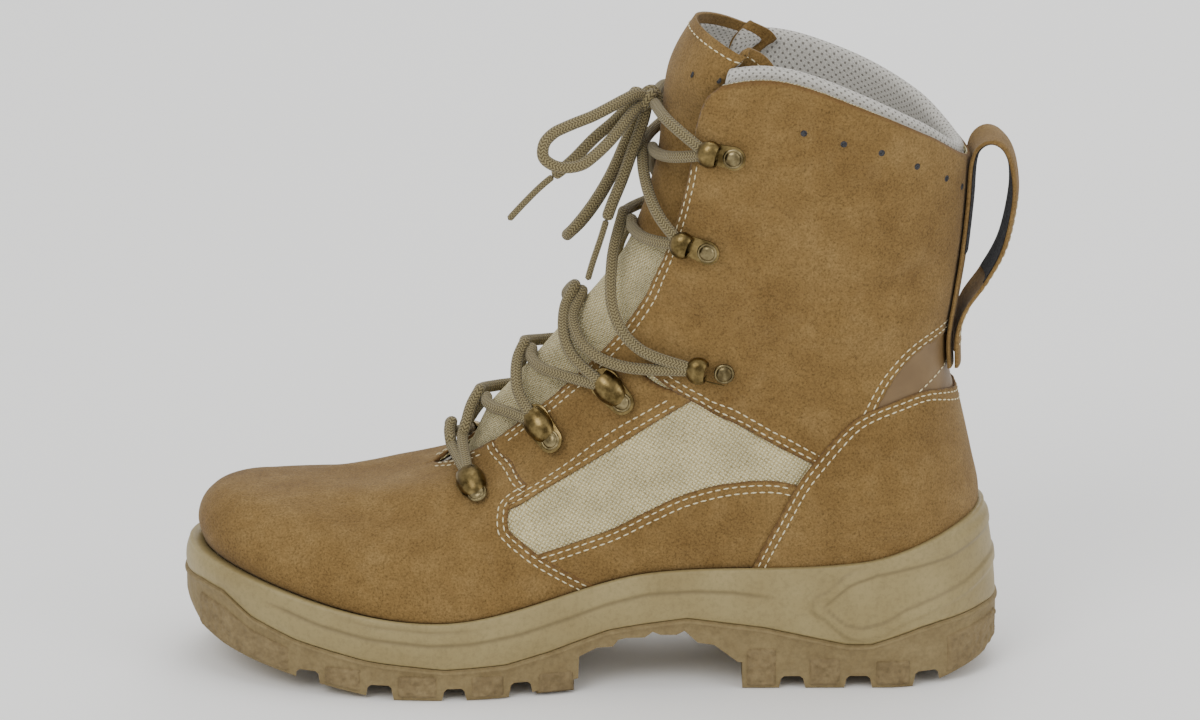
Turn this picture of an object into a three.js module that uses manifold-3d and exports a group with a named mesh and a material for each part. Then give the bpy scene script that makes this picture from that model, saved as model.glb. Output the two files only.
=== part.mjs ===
// A left combat boot, standing empty on its sole. Millimetres, +Z up.
// The toe points to -X, the outer (lateral) side faces -Y, and the ground is z = 0.
import * as THREE from "three";
import { mergeVertices } from "three/addons/utils/BufferGeometryUtils.js";
import Module from "manifold-3d";

const wasm = await Module();
wasm.setup();

// ---- Driving dimensions ----
const GAP = 0.3; // between pieces that meet
const WALL = 2.4; // upper with its lining
const RIM = 3.4; // thickness of the sole's rim around the upper
const TOE_BUMPER = 2.6; // how much thicker that rim is at the toe
const LACE = 4.4; // lace diameter
const RING_STEPS = 36; // facets round the boot
const SOFT_GAP = 0.7; // between soft layers whose facets don't match

// Sole outline: half widths on each side of the centre line, and how long the round ends are.
const SOLE = {
  backX: 153.4, toeX: -154, toeIn: 6, heelRound: 45, toeRound: 84,
  outer: { heel: 41, waist: 41.5, ball: 57 },
  inner: { heel: 41, waist: 33.5, ball: 54 },
};

// Where heel, waist and ball lie along a section, as a share of the way from the back to the toe.
const STATION = { heel: 0.15, waist: 0.42, ball: 0.7 };

// Sections of the last, from the footbed's edge to the tongue's top. Each is a ring that runs from
// the back seam to the front line. z columns: height at back, heel, waist, ball and toe.
// out/in columns: half widths on the outer and inner side. Round columns: length of the round ends.
// lean and toeIn: sideways shift of the back seam and of the front line towards the inner side.
// inDrop: how much lower the inner side runs.
const COLUMNS = [
  "backX", "toeX", "zBack", "zHeel", "zWaist", "zBall", "zToe",
  "outHeel", "outWaist", "outBall", "inHeel", "inWaist", "inBall",
  "heelRound", "toeRound", "lean", "toeIn", "inDrop",
];
const SECTIONS = [
  /* footbed   */ [139, -141, 42, 38, 31, 22, 31, 36.5, 35, 51, 36.5, 28, 48.5, 42, 78, 0, 6, 0],
  /* sole rim  */ [145.5, -147.5, 63, 50, 45.5, 30, 46, 39, 38, 53.5, 39, 32, 50.5, 44, 80, 0, 6, 0],
  /* low       */ [142.5, -149.3, 82, 68, 60, 40, 54.5, 42, 38, 52, 42, 34, 49, 44, 78, 0, 6, 0],
  /* toe cheek */ [137.5, -145.5, 104, 89, 74, 51, 62.5, 41, 36, 49, 41, 34, 46, 43, 80, 0, 6, 0],
  /* toe top   */ [134.8, -136, 116, 103, 85, 59, 67.3, 38.5, 34.5, 45, 38.5, 33.5, 42, 43, 90, 0.5, 5.5, 0],
  /* vamp      */ [134.3, -110, 130, 118, 98, 71, 68.6, 36.5, 34, 40, 36.5, 33.5, 38, 45, 120, 1, 4, 0],
  /* throat    */ [136.8, -60, 146, 135, 116, 92, 75.8, 36.5, 34, 35, 36.5, 34, 34, 47, 100, 1.5, 2, 0],
  /* instep    */ [138.6, -32, 158, 149, 135, 117, 103, 37, 35.5, 34, 37, 35.5, 33.5, 48, 88, 2, 0, 0],
  /* bend      */ [139.8, -8, 168, 164, 156, 143, 131, 38, 37, 35, 38, 37, 35, 48, 66, 2.3, -1.5, 0.5],
  /* ankle     */ [140.6, 15, 177, 180, 181, 174, 161, 38.5, 38, 36.5, 38.5, 38, 36.5, 48, 32, 2.8, -3, 1.5],
  /* shaft     */ [141.3, 27, 187, 197, 206, 206, 195, 39, 38.7, 37.5, 39, 38.7, 37.5, 48, 22, 3.2, -4, 2],
  /* collar    */ [141.8, 31.5, 198, 212, 227.5, 236.5, 232, 39, 39, 38, 39, 39, 38, 48, 20, 3.5, -4.5, 2.6],
  /* above     */ [142.8, 42, 214, 226, 240, 247, 252, 39, 39, 38, 39, 39, 38, 48, 22, 3.5, -4.5, 2.6],
].map((row) => Object.fromEntries(COLUMNS.map((name, i) => [name, row[i]])));
const RIM_LEVEL = 1;
const THROAT_LEVEL = 6;
const COLLAR_LEVEL = 11;

// Half width of the throat opening by section level.
const THROAT = [
  { level: 6, half: 0 },
  { level: 6.15, half: 8 },
  { level: 6.5, half: 14.5 },
  { level: 7, half: 19 },
  { level: 8, half: 24 },
  { level: 9, half: 27.5 },
  { level: 10, half: 29.5 },
  { level: 11, half: 31 },
  { level: 12, half: 31 },
];

// The sole along its length: height of the joint between midsole and outsole at the edge,
// height of that joint further in, and height of the underside before the lugs are cut.
const SOLE_LINES = [
  { x: -154, joint: 35, base: 26, under: 24 },
  { x: -147, joint: 35.8, base: 24, under: 16 },
  { x: -139, joint: 34.5, base: 20.5, under: 12.6 },
  { x: -128, joint: 27, base: 17, under: 9.6 },
  { x: -111, joint: 21, base: 13.5, under: 6 },
  { x: -85, joint: 15.5, base: 11.5, under: 1.3 },
  { x: -78, joint: 14.6, base: 11, under: 0 },
  { x: -55, joint: 12.5, base: 11, under: 0 },
  { x: -32, joint: 13.6, base: 12, under: 0 },
  { x: -15, joint: 17.6, base: 15.5, under: 0 },
  { x: 6, joint: 24.1, base: 22.5, under: 0 },
  { x: 36, joint: 28.2, base: 28, under: 0 },
  { x: 65, joint: 24.4, base: 24, under: 0 },
  { x: 96, joint: 17.5, base: 17.5, under: 0 },
  { x: 105, joint: 17.5, base: 17.5, under: 0 },
  { x: 124, joint: 23.6, base: 17.5, under: 0 },
  { x: 131, joint: 25, base: 17.5, under: 1.5 },
  { x: 148, joint: 26.8, base: 17.5, under: 6 },
  { x: 154, joint: 26.2, base: 17.5, under: 12 },
];

// Grooves between the lugs, each across the sole, and how high they reach.
const GROOVES = [
  { from: -111.6, to: -101.7, roof: 9.5 },
  { from: -84.7, to: -74.2, roof: 6 },
  { from: -56, to: -46.8, roof: 5 },
  { from: -31, to: -22, roof: 6.2 },
  { from: 70.6, to: 80.5, roof: 5 },
  { from: 95.2, to: 105.7, roof: 5 },
  { from: 121.2, to: 131.4, roof: 6 },
];
const CHANNELS = [
  { from: -120, to: -2, half: 4, roof: 5 },
  { from: 56, to: 132, half: 4, roof: 5 },
];
// The hollow under the arch, seen from the side, with its three low grip bars.
const ARCH = [
  [-40, -2], [-40, 0], [-31, 0.7], [-22, 1.9], [-5, 5.9], [-4.6, 14.4], [2, 17.4], [8, 17.4], [10, 20],
  [13, 20.6], [20, 20.6], [23, 22.8], [26, 21.6], [32, 21.6], [35, 23.2], [40, 18.4], [46, 17.6],
  [55, 10.8], [56.8, 10.6], [56.8, -2],
];

// ---- Small helpers ----
const clamp = (value, low, high) => Math.min(Math.max(value, low), high);
const mix = (a, b, share) => a + (b - a) * share;
const ease = (share) => {
  const t = clamp(share, 0, 1);
  return t * t * (3 - 2 * t);
};

function through(before, from, to, after, t) {
  const slopeFrom = (to - before) / 2;
  const slopeTo = (after - from) / 2;
  const a = 2 * from - 2 * to + slopeFrom + slopeTo;
  const b = -3 * from + 3 * to - 2 * slopeFrom - slopeTo;
  return ((a * t + b) * t + slopeFrom) * t + from;
}

function sectionValue(name, level) {
  const last = SECTIONS.length - 1;
  const i = clamp(Math.floor(level), 0, last - 1);
  const at = (k) => SECTIONS[clamp(k, 0, last)][name];
  return through(at(i - 1), at(i), at(i + 1), at(i + 2), level - i);
}

// A value from a table whose rows are sorted by one column.
function lookUp(table, by, name, value) {
  const last = table.length - 1;
  let i = 0;
  while (i < last - 1 && table[i + 1][by] < value) {
    i += 1;
  }
  const share = (value - table[i][by]) / (table[i + 1][by] - table[i][by]);
  return mix(table[i][name], table[i + 1][name], clamp(share, 0, 1));
}

// Half width at a share of the way from back to toe, before the ends are rounded.
function widthAt(share, heel, waist, ball) {
  if (share < STATION.waist) {
    return mix(heel, waist, ease((share - STATION.heel) / (STATION.waist - STATION.heel)));
  }
  return mix(waist, ball, ease((share - STATION.waist) / (STATION.ball - STATION.waist)));
}

function rounding(distance, round) {
  const left = 1 - clamp(distance / round, 0, 1);
  return Math.sqrt(1 - left * left);
}

function heightAt(share, heights) {
  const shares = [0, STATION.heel, STATION.waist, STATION.ball, 1];
  let i = 0;
  while (i < 3 && shares[i + 1] < share) {
    i += 1;
  }
  const slope = (k) => {
    const low = Math.max(k - 1, 0);
    const high = Math.min(k + 1, 4);
    return (heights[high] - heights[low]) / (shares[high] - shares[low]);
  };
  const span = shares[i + 1] - shares[i];
  const t = (share - shares[i]) / span;
  const before = heights[i + 1] - 2 * slope(i) * span;
  const after = heights[i] + 2 * slope(i + 1) * span;
  return through(before, heights[i], heights[i + 1], after, t);
}

// ---- The last ----
// turn runs from 0 at the front, along the outer side to 0.5 at the back seam and on to 1.
function lastPoint(turn, level) {
  const get = (name) => sectionValue(name, level);
  const share = (1 + Math.cos(2 * Math.PI * turn)) / 2;
  const backX = get("backX");
  const toeX = get("toeX");
  const length = backX - toeX;
  const outer = turn < 0.5;
  const side = outer ? "out" : "in";
  const full = widthAt(share, get(`${side}Heel`), get(`${side}Waist`), get(`${side}Ball`));
  const ends = rounding(share * length, get("heelRound")) * rounding((1 - share) * length, get("toeRound"));
  const half = full * ends;
  const middle = get("lean") * (1 - ease(share / 0.45)) + get("toeIn") * ease((share - 0.55) / 0.45);
  const drop = outer ? 0 : (get("inDrop") * half) / full;
  const z = heightAt(share, ["zBack", "zHeel", "zWaist", "zBall", "zToe"].map(get)) - drop;
  return new THREE.Vector3(mix(backX, toeX, share), middle + (outer ? -half : half), z);
}

function lastNormal(turn, level) {
  const step = 0.002;
  const around = lastPoint((turn + step) % 1, level).sub(lastPoint((turn + 1 - step) % 1, level));
  const low = Math.max(level - 0.03, 0);
  const high = Math.min(level + 0.03, SECTIONS.length - 1);
  const up = lastPoint(turn, high).sub(lastPoint(turn, low));
  return around.cross(up).normalize();
}

function shoePoint(turn, level, proud = 0) {
  return lastPoint(turn, level).addScaledVector(lastNormal(turn, level), proud);
}

function halfAt(turn, level) {
  return Math.abs(lastPoint(turn, level).y - sectionValue("toeIn", level));
}

// The turn at which a section is this far from the front line, on the outer side or the inner.
function turnAtHalf(half, level, outer) {
  let low = 0;
  let high = 0.25;
  for (let i = 0; i < 30; i += 1) {
    const middle = (low + high) / 2;
    const far = halfAt(outer ? middle : 1 - middle, level) > half;
    low = far ? low : middle;
    high = far ? middle : high;
  }
  return low;
}

// The turn and level of the point that has this x and z on one side.
function findPlace(x, z, outer) {
  const turnFor = (level) => {
    const backX = sectionValue("backX", level);
    const share = (backX - x) / (backX - sectionValue("toeX", level));
    const turn = Math.acos(clamp(2 * share - 1, -1, 1)) / (2 * Math.PI);
    return outer ? turn : 1 - turn;
  };
  let low = 0;
  let high = SECTIONS.length - 1;
  for (let i = 0; i < 40; i += 1) {
    const middle = (low + high) / 2;
    const over = lastPoint(turnFor(middle), middle).z > z;
    low = over ? low : middle;
    high = over ? middle : high;
  }
  return { turn: turnFor(low), level: low };
}

// ---- Solids from grids ----
function geometryFrom(points, faces) {
  const geometry = new THREE.BufferGeometry();
  const numbers = points.flatMap((p) => [p.x, p.y, p.z]);
  geometry.setAttribute("position", new THREE.Float32BufferAttribute(numbers, 3));
  geometry.setIndex(faces.flat());
  const merged = mergeVertices(geometry, 1e-3);
  const index = Array.from(merged.index.array);
  const kept = [];
  for (let i = 0; i < index.length; i += 3) {
    const [a, b, c] = index.slice(i, i + 3);
    if (a !== b && b !== c && c !== a) {
      kept.push(a, b, c);
    }
  }
  merged.setIndex(kept);
  return volumeOf(merged) < 0 ? turnedOver(merged) : merged;
}

function volumeOf(geometry) {
  const position = geometry.attributes.position;
  const index = geometry.index.array;
  const corner = [new THREE.Vector3(), new THREE.Vector3(), new THREE.Vector3()];
  let total = 0;
  for (let i = 0; i < index.length; i += 3) {
    corner.forEach((v, k) => v.fromBufferAttribute(position, index[i + k]));
    total += corner[0].dot(corner[1].clone().cross(corner[2]));
  }
  return total / 6;
}

function turnedOver(geometry) {
  const index = Array.from(geometry.index.array);
  for (let i = 0; i < index.length; i += 3) {
    [index[i], index[i + 1]] = [index[i + 1], index[i]];
  }
  geometry.setIndex(index);
  return geometry;
}

const quad = (a, b, c, d) => [[a, b, c], [a, c, d]];

// A curved sheet with two faces: outer(i, j) and inner(i, j) give its points. Below seamRow the
// first and last columns are the same line, so the sheet closes on itself there.
function sheetSolid(columns, rows, outer, inner, seamRow = 0) {
  const points = [];
  const at = (i, j, layer) => (i * (rows + 1) + j) * 2 + layer;
  for (let i = 0; i <= columns; i += 1) {
    for (let j = 0; j <= rows; j += 1) {
      points.push(outer(i, j), inner(i, j));
    }
  }
  const faces = [];
  for (let i = 0; i < columns; i += 1) {
    for (let j = 0; j < rows; j += 1) {
      faces.push(...quad(at(i, j, 0), at(i + 1, j, 0), at(i + 1, j + 1, 0), at(i, j + 1, 0)));
      faces.push(...quad(at(i, j, 1), at(i, j + 1, 1), at(i + 1, j + 1, 1), at(i + 1, j, 1)));
    }
    faces.push(...quad(at(i, 0, 0), at(i, 0, 1), at(i + 1, 0, 1), at(i + 1, 0, 0)));
    faces.push(...quad(at(i, rows, 0), at(i + 1, rows, 0), at(i + 1, rows, 1), at(i, rows, 1)));
  }
  for (let j = seamRow; j < rows; j += 1) {
    faces.push(...quad(at(0, j, 0), at(0, j + 1, 0), at(0, j + 1, 1), at(0, j, 1)));
    faces.push(...quad(at(columns, j, 0), at(columns, j, 1), at(columns, j + 1, 1), at(columns, j + 1, 0)));
  }
  return geometryFrom(points, faces);
}

// A solid from closed rings that run round the boot, closed straight across at its first and last.
function ringSolid(rings) {
  const count = rings[0].length;
  const points = rings.flat();
  const faces = [];
  rings.slice(1).forEach((ring, r) => {
    for (let i = 0; i < count; i += 1) {
      const next = (i + 1) % count;
      faces.push(...quad(r * count + i, r * count + next, (r + 1) * count + next, (r + 1) * count + i));
    }
  });
  const ladder = (start, over) => {
    for (let i = 0; i < count / 2; i += 1) {
      const rungs = quad(start + i, start + i + 1, start + count - i - 1, start + ((count - i) % count));
      faces.push(...(over ? rungs.map((face) => face.reverse()) : rungs));
    }
  };
  ladder(0, true);
  ladder((rings.length - 1) * count, false);
  return geometryFrom(points, faces.filter(([a, b, c]) => a !== b && b !== c && c !== a));
}

function toSolid(geometry) {
  const bare = geometry.clone();
  bare.deleteAttribute("normal");
  bare.deleteAttribute("uv");
  const merged = mergeVertices(bare, 1e-4);
  return new wasm.Manifold(new wasm.Mesh({
    numProp: 3,
    vertProperties: new Float32Array(merged.attributes.position.array),
    triVerts: new Uint32Array(merged.index.array),
  }));
}

function toGeometry(solid) {
  const mesh = solid.getMesh();
  const geometry = new THREE.BufferGeometry();
  geometry.setAttribute("position", new THREE.BufferAttribute(new Float32Array(mesh.vertProperties), 3));
  geometry.setIndex(new THREE.BufferAttribute(new Uint32Array(mesh.triVerts), 1));
  return geometry;
}

const joined = (pieces) => toGeometry(pieces.map(toSolid).reduce((a, b) => a.add(b)));

function cutBy(body, cutters) {
  return toGeometry(cutters.map(toSolid).reduce((a, b) => a.subtract(b), toSolid(body)));
}

// ---- Sole ----
const turns = Array.from({ length: RING_STEPS }, (_, i) => i / RING_STEPS);
const soleLine = (name, x) => lookUp(SOLE_LINES, "x", name, x);

function outlinePoint(turn) {
  const share = (1 + Math.cos(2 * Math.PI * turn)) / 2;
  const length = SOLE.backX - SOLE.toeX;
  const outer = turn < 0.5;
  const side = outer ? SOLE.outer : SOLE.inner;
  const ends = rounding(share * length, SOLE.heelRound) * rounding((1 - share) * length, SOLE.toeRound);
  const half = widthAt(share, side.heel, side.waist, side.ball) * ends;
  const middle = SOLE.toeIn * ease((share - 0.55) / 0.45);
  return new THREE.Vector2(mix(SOLE.backX, SOLE.toeX, share), middle + (outer ? -half : half));
}

// The outline moved out by grow, at the height that the named line has there.
function solePoint(turn, grow, lineName, lift = 0) {
  const step = 0.002;
  const along = outlinePoint((turn + step) % 1).sub(outlinePoint((turn + 1 - step) % 1)).normalize();
  const at = outlinePoint(turn);
  const x = at.x + along.y * grow;
  const y = at.y - along.x * grow;
  return new THREE.Vector3(x, y, soleLine(lineName, x) + lift);
}

function midsole() {
  const rim = (turn, proud, lift) => shoePoint(turn, RIM_LEVEL, proud).add(new THREE.Vector3(0, 0, lift));
  const edge = (turn) => RIM + TOE_BUMPER * ease(1.6 * Math.cos(2 * Math.PI * turn) - 0.6);
  const between = (turn, share, bulge) => {
    const low = solePoint(turn, bulge, "joint");
    const high = rim(turn, edge(turn) + bulge, -1);
    return low.lerp(high, share);
  };
  const inside = (level, drop) => turns.map((t) => {
    const point = shoePoint(t, level, GAP);
    return point.setZ(lastPoint(t, level).z - drop);
  });
  return ringSolid([
    turns.map((t) => solePoint(t, -14, "base")),
    turns.map((t) => solePoint(t, 0, "joint")),
    turns.map((t) => between(t, 0.3, 0.6)),
    turns.map((t) => between(t, 0.7, 0.6)),
    turns.map((t) => rim(t, edge(t), -1)),
    turns.map((t) => rim(t, edge(t) - 1.2, 0)),
    inside(RIM_LEVEL, 0),
    inside(RIM_LEVEL / 2, 0),
    inside(0, GAP),
  ]);
}

function acrossBlock(profile) {
  const shape = new THREE.Shape(profile.map(([x, z]) => new THREE.Vector2(x, z)));
  const block = new THREE.ExtrudeGeometry(shape, { depth: 160, bevelEnabled: false });
  return block.rotateX(Math.PI / 2).translate(0, 80, 0);
}

function outsole() {
  const body = ringSolid([
    turns.map((t) => solePoint(t, -14, "base", -GAP)),
    turns.map((t) => solePoint(t, 0, "joint", -GAP)),
    turns.map((t) => {
      const low = solePoint(t, 0.4, "under");
      return low.setZ(mix(low.z, soleLine("joint", low.x), 0.5));
    }),
    turns.map((t) => solePoint(t, 0, "under")),
  ]);
  const grooves = GROOVES.map(({ from, to, roof }) => (
    acrossBlock([[from - 0.4, -2], [to + 0.4, -2], [to - 1, roof], [from + 1, roof]])
  ));
  const channels = CHANNELS.map(({ from, to, half, roof }) => (
    new THREE.BoxGeometry(to - from, 2 * half, roof + 4).translate((from + to) / 2, 0, (roof - 4) / 2)
  ));
  return cutBy(body, [acrossBlock(ARCH), ...grooves, ...channels]);
}

function insole() {
  const thick = 4;
  const edge = (proud, lift) => turns.map((t) => {
    const point = shoePoint(t, 0, proud);
    return point.setZ(lastPoint(t, 0).z + lift);
  });
  return ringSolid([edge(-WALL - 0.7, 0.5), edge(-WALL - 0.5, thick - 0.8), edge(-WALL - 1.5, thick)]);
}

// ---- Upper ----
const throatHalf = (level) => lookUp(THROAT, "level", "half", level);

function throatTurn(level, outer) {
  return level <= THROAT_LEVEL ? 0 : turnAtHalf(throatHalf(level), level, outer);
}

function levelsFor(from, to, steps) {
  return Array.from({ length: steps + 1 }, (_, i) => mix(from, to, i / steps));
}

function upper() {
  const levels = [
    0, 0.5, 1, 1.5, 2, 3, 3.5, 4, 4.5, 5, 5.5, 6, 6.15, 6.5, 7, 7.5, 8, 8.5, 9, 9.75, 10.4, 11,
  ];
  const seamRow = levels.indexOf(THROAT_LEVEL);
  const place = (i, j) => {
    const share = i / RING_STEPS;
    const start = throatTurn(levels[j], true);
    const end = 1 - throatTurn(levels[j], false);
    return share < 0.5 ? mix(start, 0.5, share * 2) : mix(0.5, end, share * 2 - 1);
  };
  const face = (i, j, proud) => {
    const turn = place(i, j) % 1;
    const closed = j <= seamRow && (i === 0 || i === RING_STEPS);
    return shoePoint(closed ? 0 : turn, levels[j], proud);
  };
  const outside = (i, j) => face(i, j, 0);
  const lining = (i, j) => face(i, j, -WALL);
  return sheetSolid(RING_STEPS, levels.length - 1, outside, lining, seamRow);
}

// ---- Tongue ----
const TONGUE = {
  thick: 4.5, from: 5.7, to: 11.85, corner: 0.6, steps: 16, across: 10,
  edge: 0.6, proud: 3, wing: 0.045, topWing: 0.2, freeWing: -5,
};
const PAD = 5.5; // thickness of the padded collar

function tongueOffset(level) {
  const padded = ease((level - 9) / 0.7);
  return -(WALL + SOFT_GAP + 0.3) - padded * (PAD + SOFT_GAP + 0.4);
}

function tonguePoint(share, level, depth) {
  const outer = share < 0;
  const open = throatTurn(Math.max(level, 6.02), outer);
  const rise = ease((level - 10) / 1.5);
  const wing = mix(open + TONGUE.wing, TONGUE.topWing, rise);
  const edge = open * 0.9;
  const side = Math.abs(share);
  const past = (side - TONGUE.edge) / (1 - TONGUE.edge);
  const turn = past < 0 ? (side / TONGUE.edge) * edge : mix(edge, wing, past);
  const hidden = tongueOffset(level);
  const crown = mix(hidden, TONGUE.proud, ease((level - 6.1) / 0.8));
  const free = ease((level - COLLAR_LEVEL - 0.4) / 0.6);
  const offset = mix(crown, mix(hidden, TONGUE.freeWing, free), ease(side / TONGUE.edge));
  return shoePoint(outer ? turn : (1 - turn) % 1, level, offset - depth);
}

function tongue() {
  const share = (i) => (2 * i) / TONGUE.across - 1;
  const level = (i, j) => mix(TONGUE.from, TONGUE.to - TONGUE.corner * share(i) ** 6, j / TONGUE.steps);
  const depthAt = (i, j) => {
    const edge = Math.min(i, TONGUE.across - i, TONGUE.steps - j);
    return edge === 0 ? 1 : 0;
  };
  return sheetSolid(
    TONGUE.across, TONGUE.steps,
    (i, j) => tonguePoint(share(i), level(i, j), depthAt(i, j)),
    (i, j) => tonguePoint(share(i), level(i, j), TONGUE.thick - depthAt(i, j)),
  );
}

// ---- Padded collar ----
// The roll's section: section level, depth inside the upper's face, and rise above the collar line.
const COLLAR_ROLL = [
  { level: 9.75, depth: WALL + SOFT_GAP, rise: 0 },
  { level: 10.4, depth: WALL + SOFT_GAP, rise: 0 },
  { level: 11, depth: WALL + SOFT_GAP, rise: 0 },
  { level: 11, depth: WALL + SOFT_GAP, rise: 2.6 },
  { level: 11, depth: WALL + 2.2, rise: 4.2 },
  { level: 11, depth: WALL + 4.4, rise: 3.4 },
  { level: 11, depth: WALL + PAD, rise: 1 },
  { level: 10.5, depth: WALL + PAD - 0.3, rise: 0 },
  { level: 10.0, depth: WALL + PAD - 1.8, rise: 0 },
];

function loft(sections) {
  const count = sections[0].length;
  const points = sections.flat();
  const faces = [];
  sections.slice(1).forEach((_, r) => {
    for (let i = 0; i < count; i += 1) {
      const next = (i + 1) % count;
      faces.push(...quad(r * count + i, r * count + next, (r + 1) * count + next, (r + 1) * count + i));
    }
  });
  const cap = (section, start, over) => {
    const middle = section.reduce((sum, p) => sum.add(p), new THREE.Vector3()).divideScalar(count);
    const hub = points.push(middle) - 1;
    for (let i = 0; i < count; i += 1) {
      const face = [hub, start + i, start + ((i + 1) % count)];
      faces.push(over ? face.reverse() : face);
    }
  };
  cap(sections[0], 0, true);
  cap(sections.at(-1), (sections.length - 1) * count, false);
  return geometryFrom(points, faces);
}

function collarPadding() {
  const steps = 22;
  const start = throatTurn(COLLAR_LEVEL, true) + 0.008;
  const end = 1 - throatTurn(COLLAR_LEVEL, false) - 0.008;
  const place = (turn, { level, depth, rise }) => {
    const point = shoePoint(turn, level, -depth);
    return point.setZ(point.z + rise);
  };
  return loft(levelsFor(start, end, steps).map((turn) => COLLAR_ROLL.map((row) => place(turn, row))));
}

// ---- Heel counter ----
// Its top edge on each side, from the sole rim at the front to the back seam.
const COUNTER_TOP = [
  { x: 62, z: 50 },
  { x: 72, z: 62 },
  { x: 89, z: 91 },
  { x: 102, z: 103.5 },
  { x: 114, z: 109 },
  { x: 140, z: 107 },
];
const COUNTER = { thick: 1.6, columns: 22, rows: 5, frontX: 64 };

function levelAtHeight(turn, z) {
  let low = 0;
  let high = COLLAR_LEVEL;
  for (let i = 0; i < 40; i += 1) {
    const middle = (low + high) / 2;
    const over = lastPoint(turn, middle).z > z;
    low = over ? low : middle;
    high = over ? middle : high;
  }
  return low;
}

function heelCounter() {
  const front = findPlace(COUNTER.frontX, 50, true).turn;
  const columnTurn = (i) => mix(front, 1 - front, i / COUNTER.columns);
  const levelOf = (i, j) => {
    const turn = columnTurn(i);
    const bottom = RIM_LEVEL + 0.06;
    let top = bottom + 1;
    for (let pass = 0; pass < 6; pass += 1) {
      top = levelAtHeight(turn, lookUp(COUNTER_TOP, "x", "z", lastPoint(turn, top).x));
    }
    return mix(bottom, Math.max(top, bottom + 0.12), j / COUNTER.rows);
  };
  return sheetSolid(
    COUNTER.columns, COUNTER.rows,
    (i, j) => shoePoint(columnTurn(i), levelOf(i, j), 2 * GAP + COUNTER.thick),
    (i, j) => shoePoint(columnTurn(i), levelOf(i, j), 2 * GAP),
  );
}

// ---- Backstay strap with its pull loop ----
const STRAP = { width: 25, thick: 1.8, bend: 84, lean: { atFoot: 0.6, atTop: 3.6 } };
// Middle line of the strap from its lower end, up the back seam, out round the loop and down again.
const STRAP_LINE = [
  { x: 136.4, z: 117 }, { x: 136, z: 129 }, { x: 138.5, z: 146 }, { x: 140.6, z: 160 },
  { x: 142.6, z: 180 }, { x: 143.6, z: 195 }, { x: 146, z: 201.6 }, { x: 150.8, z: 204 },
  { x: 155.8, z: 201 }, { x: 158.6, z: 193 }, { x: 159.2, z: 181 }, { x: 155.6, z: 163 },
  { x: 149, z: 150 }, { x: 141.8, z: 139.4 }, { x: 138.6, z: 129.6 }, { x: 138.5, z: 117.2 },
];

function pullLoop() {
  const line = new THREE.CatmullRomCurve3(STRAP_LINE.map(({ x, z }) => new THREE.Vector3(x, z, 0)));
  const steps = 24;
  const [foot, high] = [STRAP_LINE[0].z, 198];
  const sections = line.getSpacedPoints(steps).map((at, i) => {
    const tangent = line.getTangentAt(i / steps);
    const out = new THREE.Vector3(tangent.y, -tangent.x, 0);
    return [-1, -0.5, 0, 0.5, 1].flatMap((side) => [[side, 1]]).concat(
      [1, 0.5, 0, -0.5, -1].map((side) => [side, -1]),
    ).map(([side, face]) => {
      const y = (side * STRAP.width) / 2;
      const x = at.x + (out.x * face * STRAP.thick) / 2 - (y * y) / STRAP.bend;
      const z = at.y + (out.y * face * STRAP.thick) / 2;
      const lean = mix(STRAP.lean.atFoot, STRAP.lean.atTop, clamp((z - foot) / (high - foot), 0, 1));
      return new THREE.Vector3(x, y + lean, z);
    });
  });
  return loft(sections);
}

// ---- Lace loops and hooks ----
// Each row: x and z of the rivet and of the loop or hook, and how far the plate stands off the suede.
const FITTINGS = [
  { name: "lace_loop", count: 1, rivet: [-42, 73], top: [-49, 80], lift: 2.2 },
  { name: "lace_loop", count: 2, rivet: [-14, 93], top: [-21.5, 101], lift: 1.2 },
  { name: "lace_loop", count: 3, rivet: [12, 110], top: [4, 118], lift: 1.2 },
  { name: "hook", count: 1, rivet: [49.6, 123], top: [39.5, 124.6], lift: 1.1 },
  { name: "hook", count: 2, rivet: [43.6, 171], top: [34.2, 174], lift: 1.1 },
  { name: "hook", count: 3, rivet: [52.6, 208], top: [43.6, 210], lift: 1.1 },
];
const FITTING = { plateHalf: 4.2, plateThick: 1, rivet: 4.2, rivetHigh: 1.8, wire: 1.25, facets: 8 };

function fittingFrame({ rivet, top, lift }, outer) {
  const rivetPlace = findPlace(rivet[0], rivet[1], outer);
  const topPlace = findPlace(top[0], top[1], outer);
  const normal = lastNormal(rivetPlace.turn, rivetPlace.level);
  normal.add(lastNormal(topPlace.turn, topPlace.level)).normalize();
  const from = shoePoint(rivetPlace.turn, rivetPlace.level, 0);
  const to = shoePoint(topPlace.turn, topPlace.level, 0);
  const along = to.clone().sub(from);
  along.addScaledVector(normal, -along.dot(normal)).normalize();
  const across = normal.clone().cross(along);
  const stand = Math.max(to.clone().sub(from).dot(normal), 0) + lift;
  const basis = new THREE.Matrix4().makeBasis(along, across, normal);
  return { basis: basis.setPosition(from.addScaledVector(normal, stand)), reach: to.distanceTo(from) };
}

function plate(reach) {
  const { plateHalf, plateThick } = FITTING;
  const shape = new THREE.Shape();
  shape.absarc(0, 0, plateHalf, Math.PI / 2, (3 * Math.PI) / 2, false);
  shape.absarc(reach, 0, plateHalf, -Math.PI / 2, Math.PI / 2, false);
  return new THREE.ExtrudeGeometry(shape, { depth: plateThick, bevelEnabled: false, curveSegments: 3 });
}

function upright(radiusTop, radiusBottom, height) {
  const stem = new THREE.CylinderGeometry(radiusTop, radiusBottom, height, FITTING.facets);
  return stem.rotateX(Math.PI / 2).translate(0, 0, height / 2);
}

function tube(points, radius, sides, steps) {
  const section = new THREE.Shape();
  section.absarc(0, 0, radius, 0, 2 * Math.PI, false);
  const line = new THREE.CatmullRomCurve3(points);
  const options = { steps, extrudePath: line, bevelEnabled: false, curveSegments: sides / 2 };
  return new THREE.ExtrudeGeometry(section, options);
}

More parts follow.
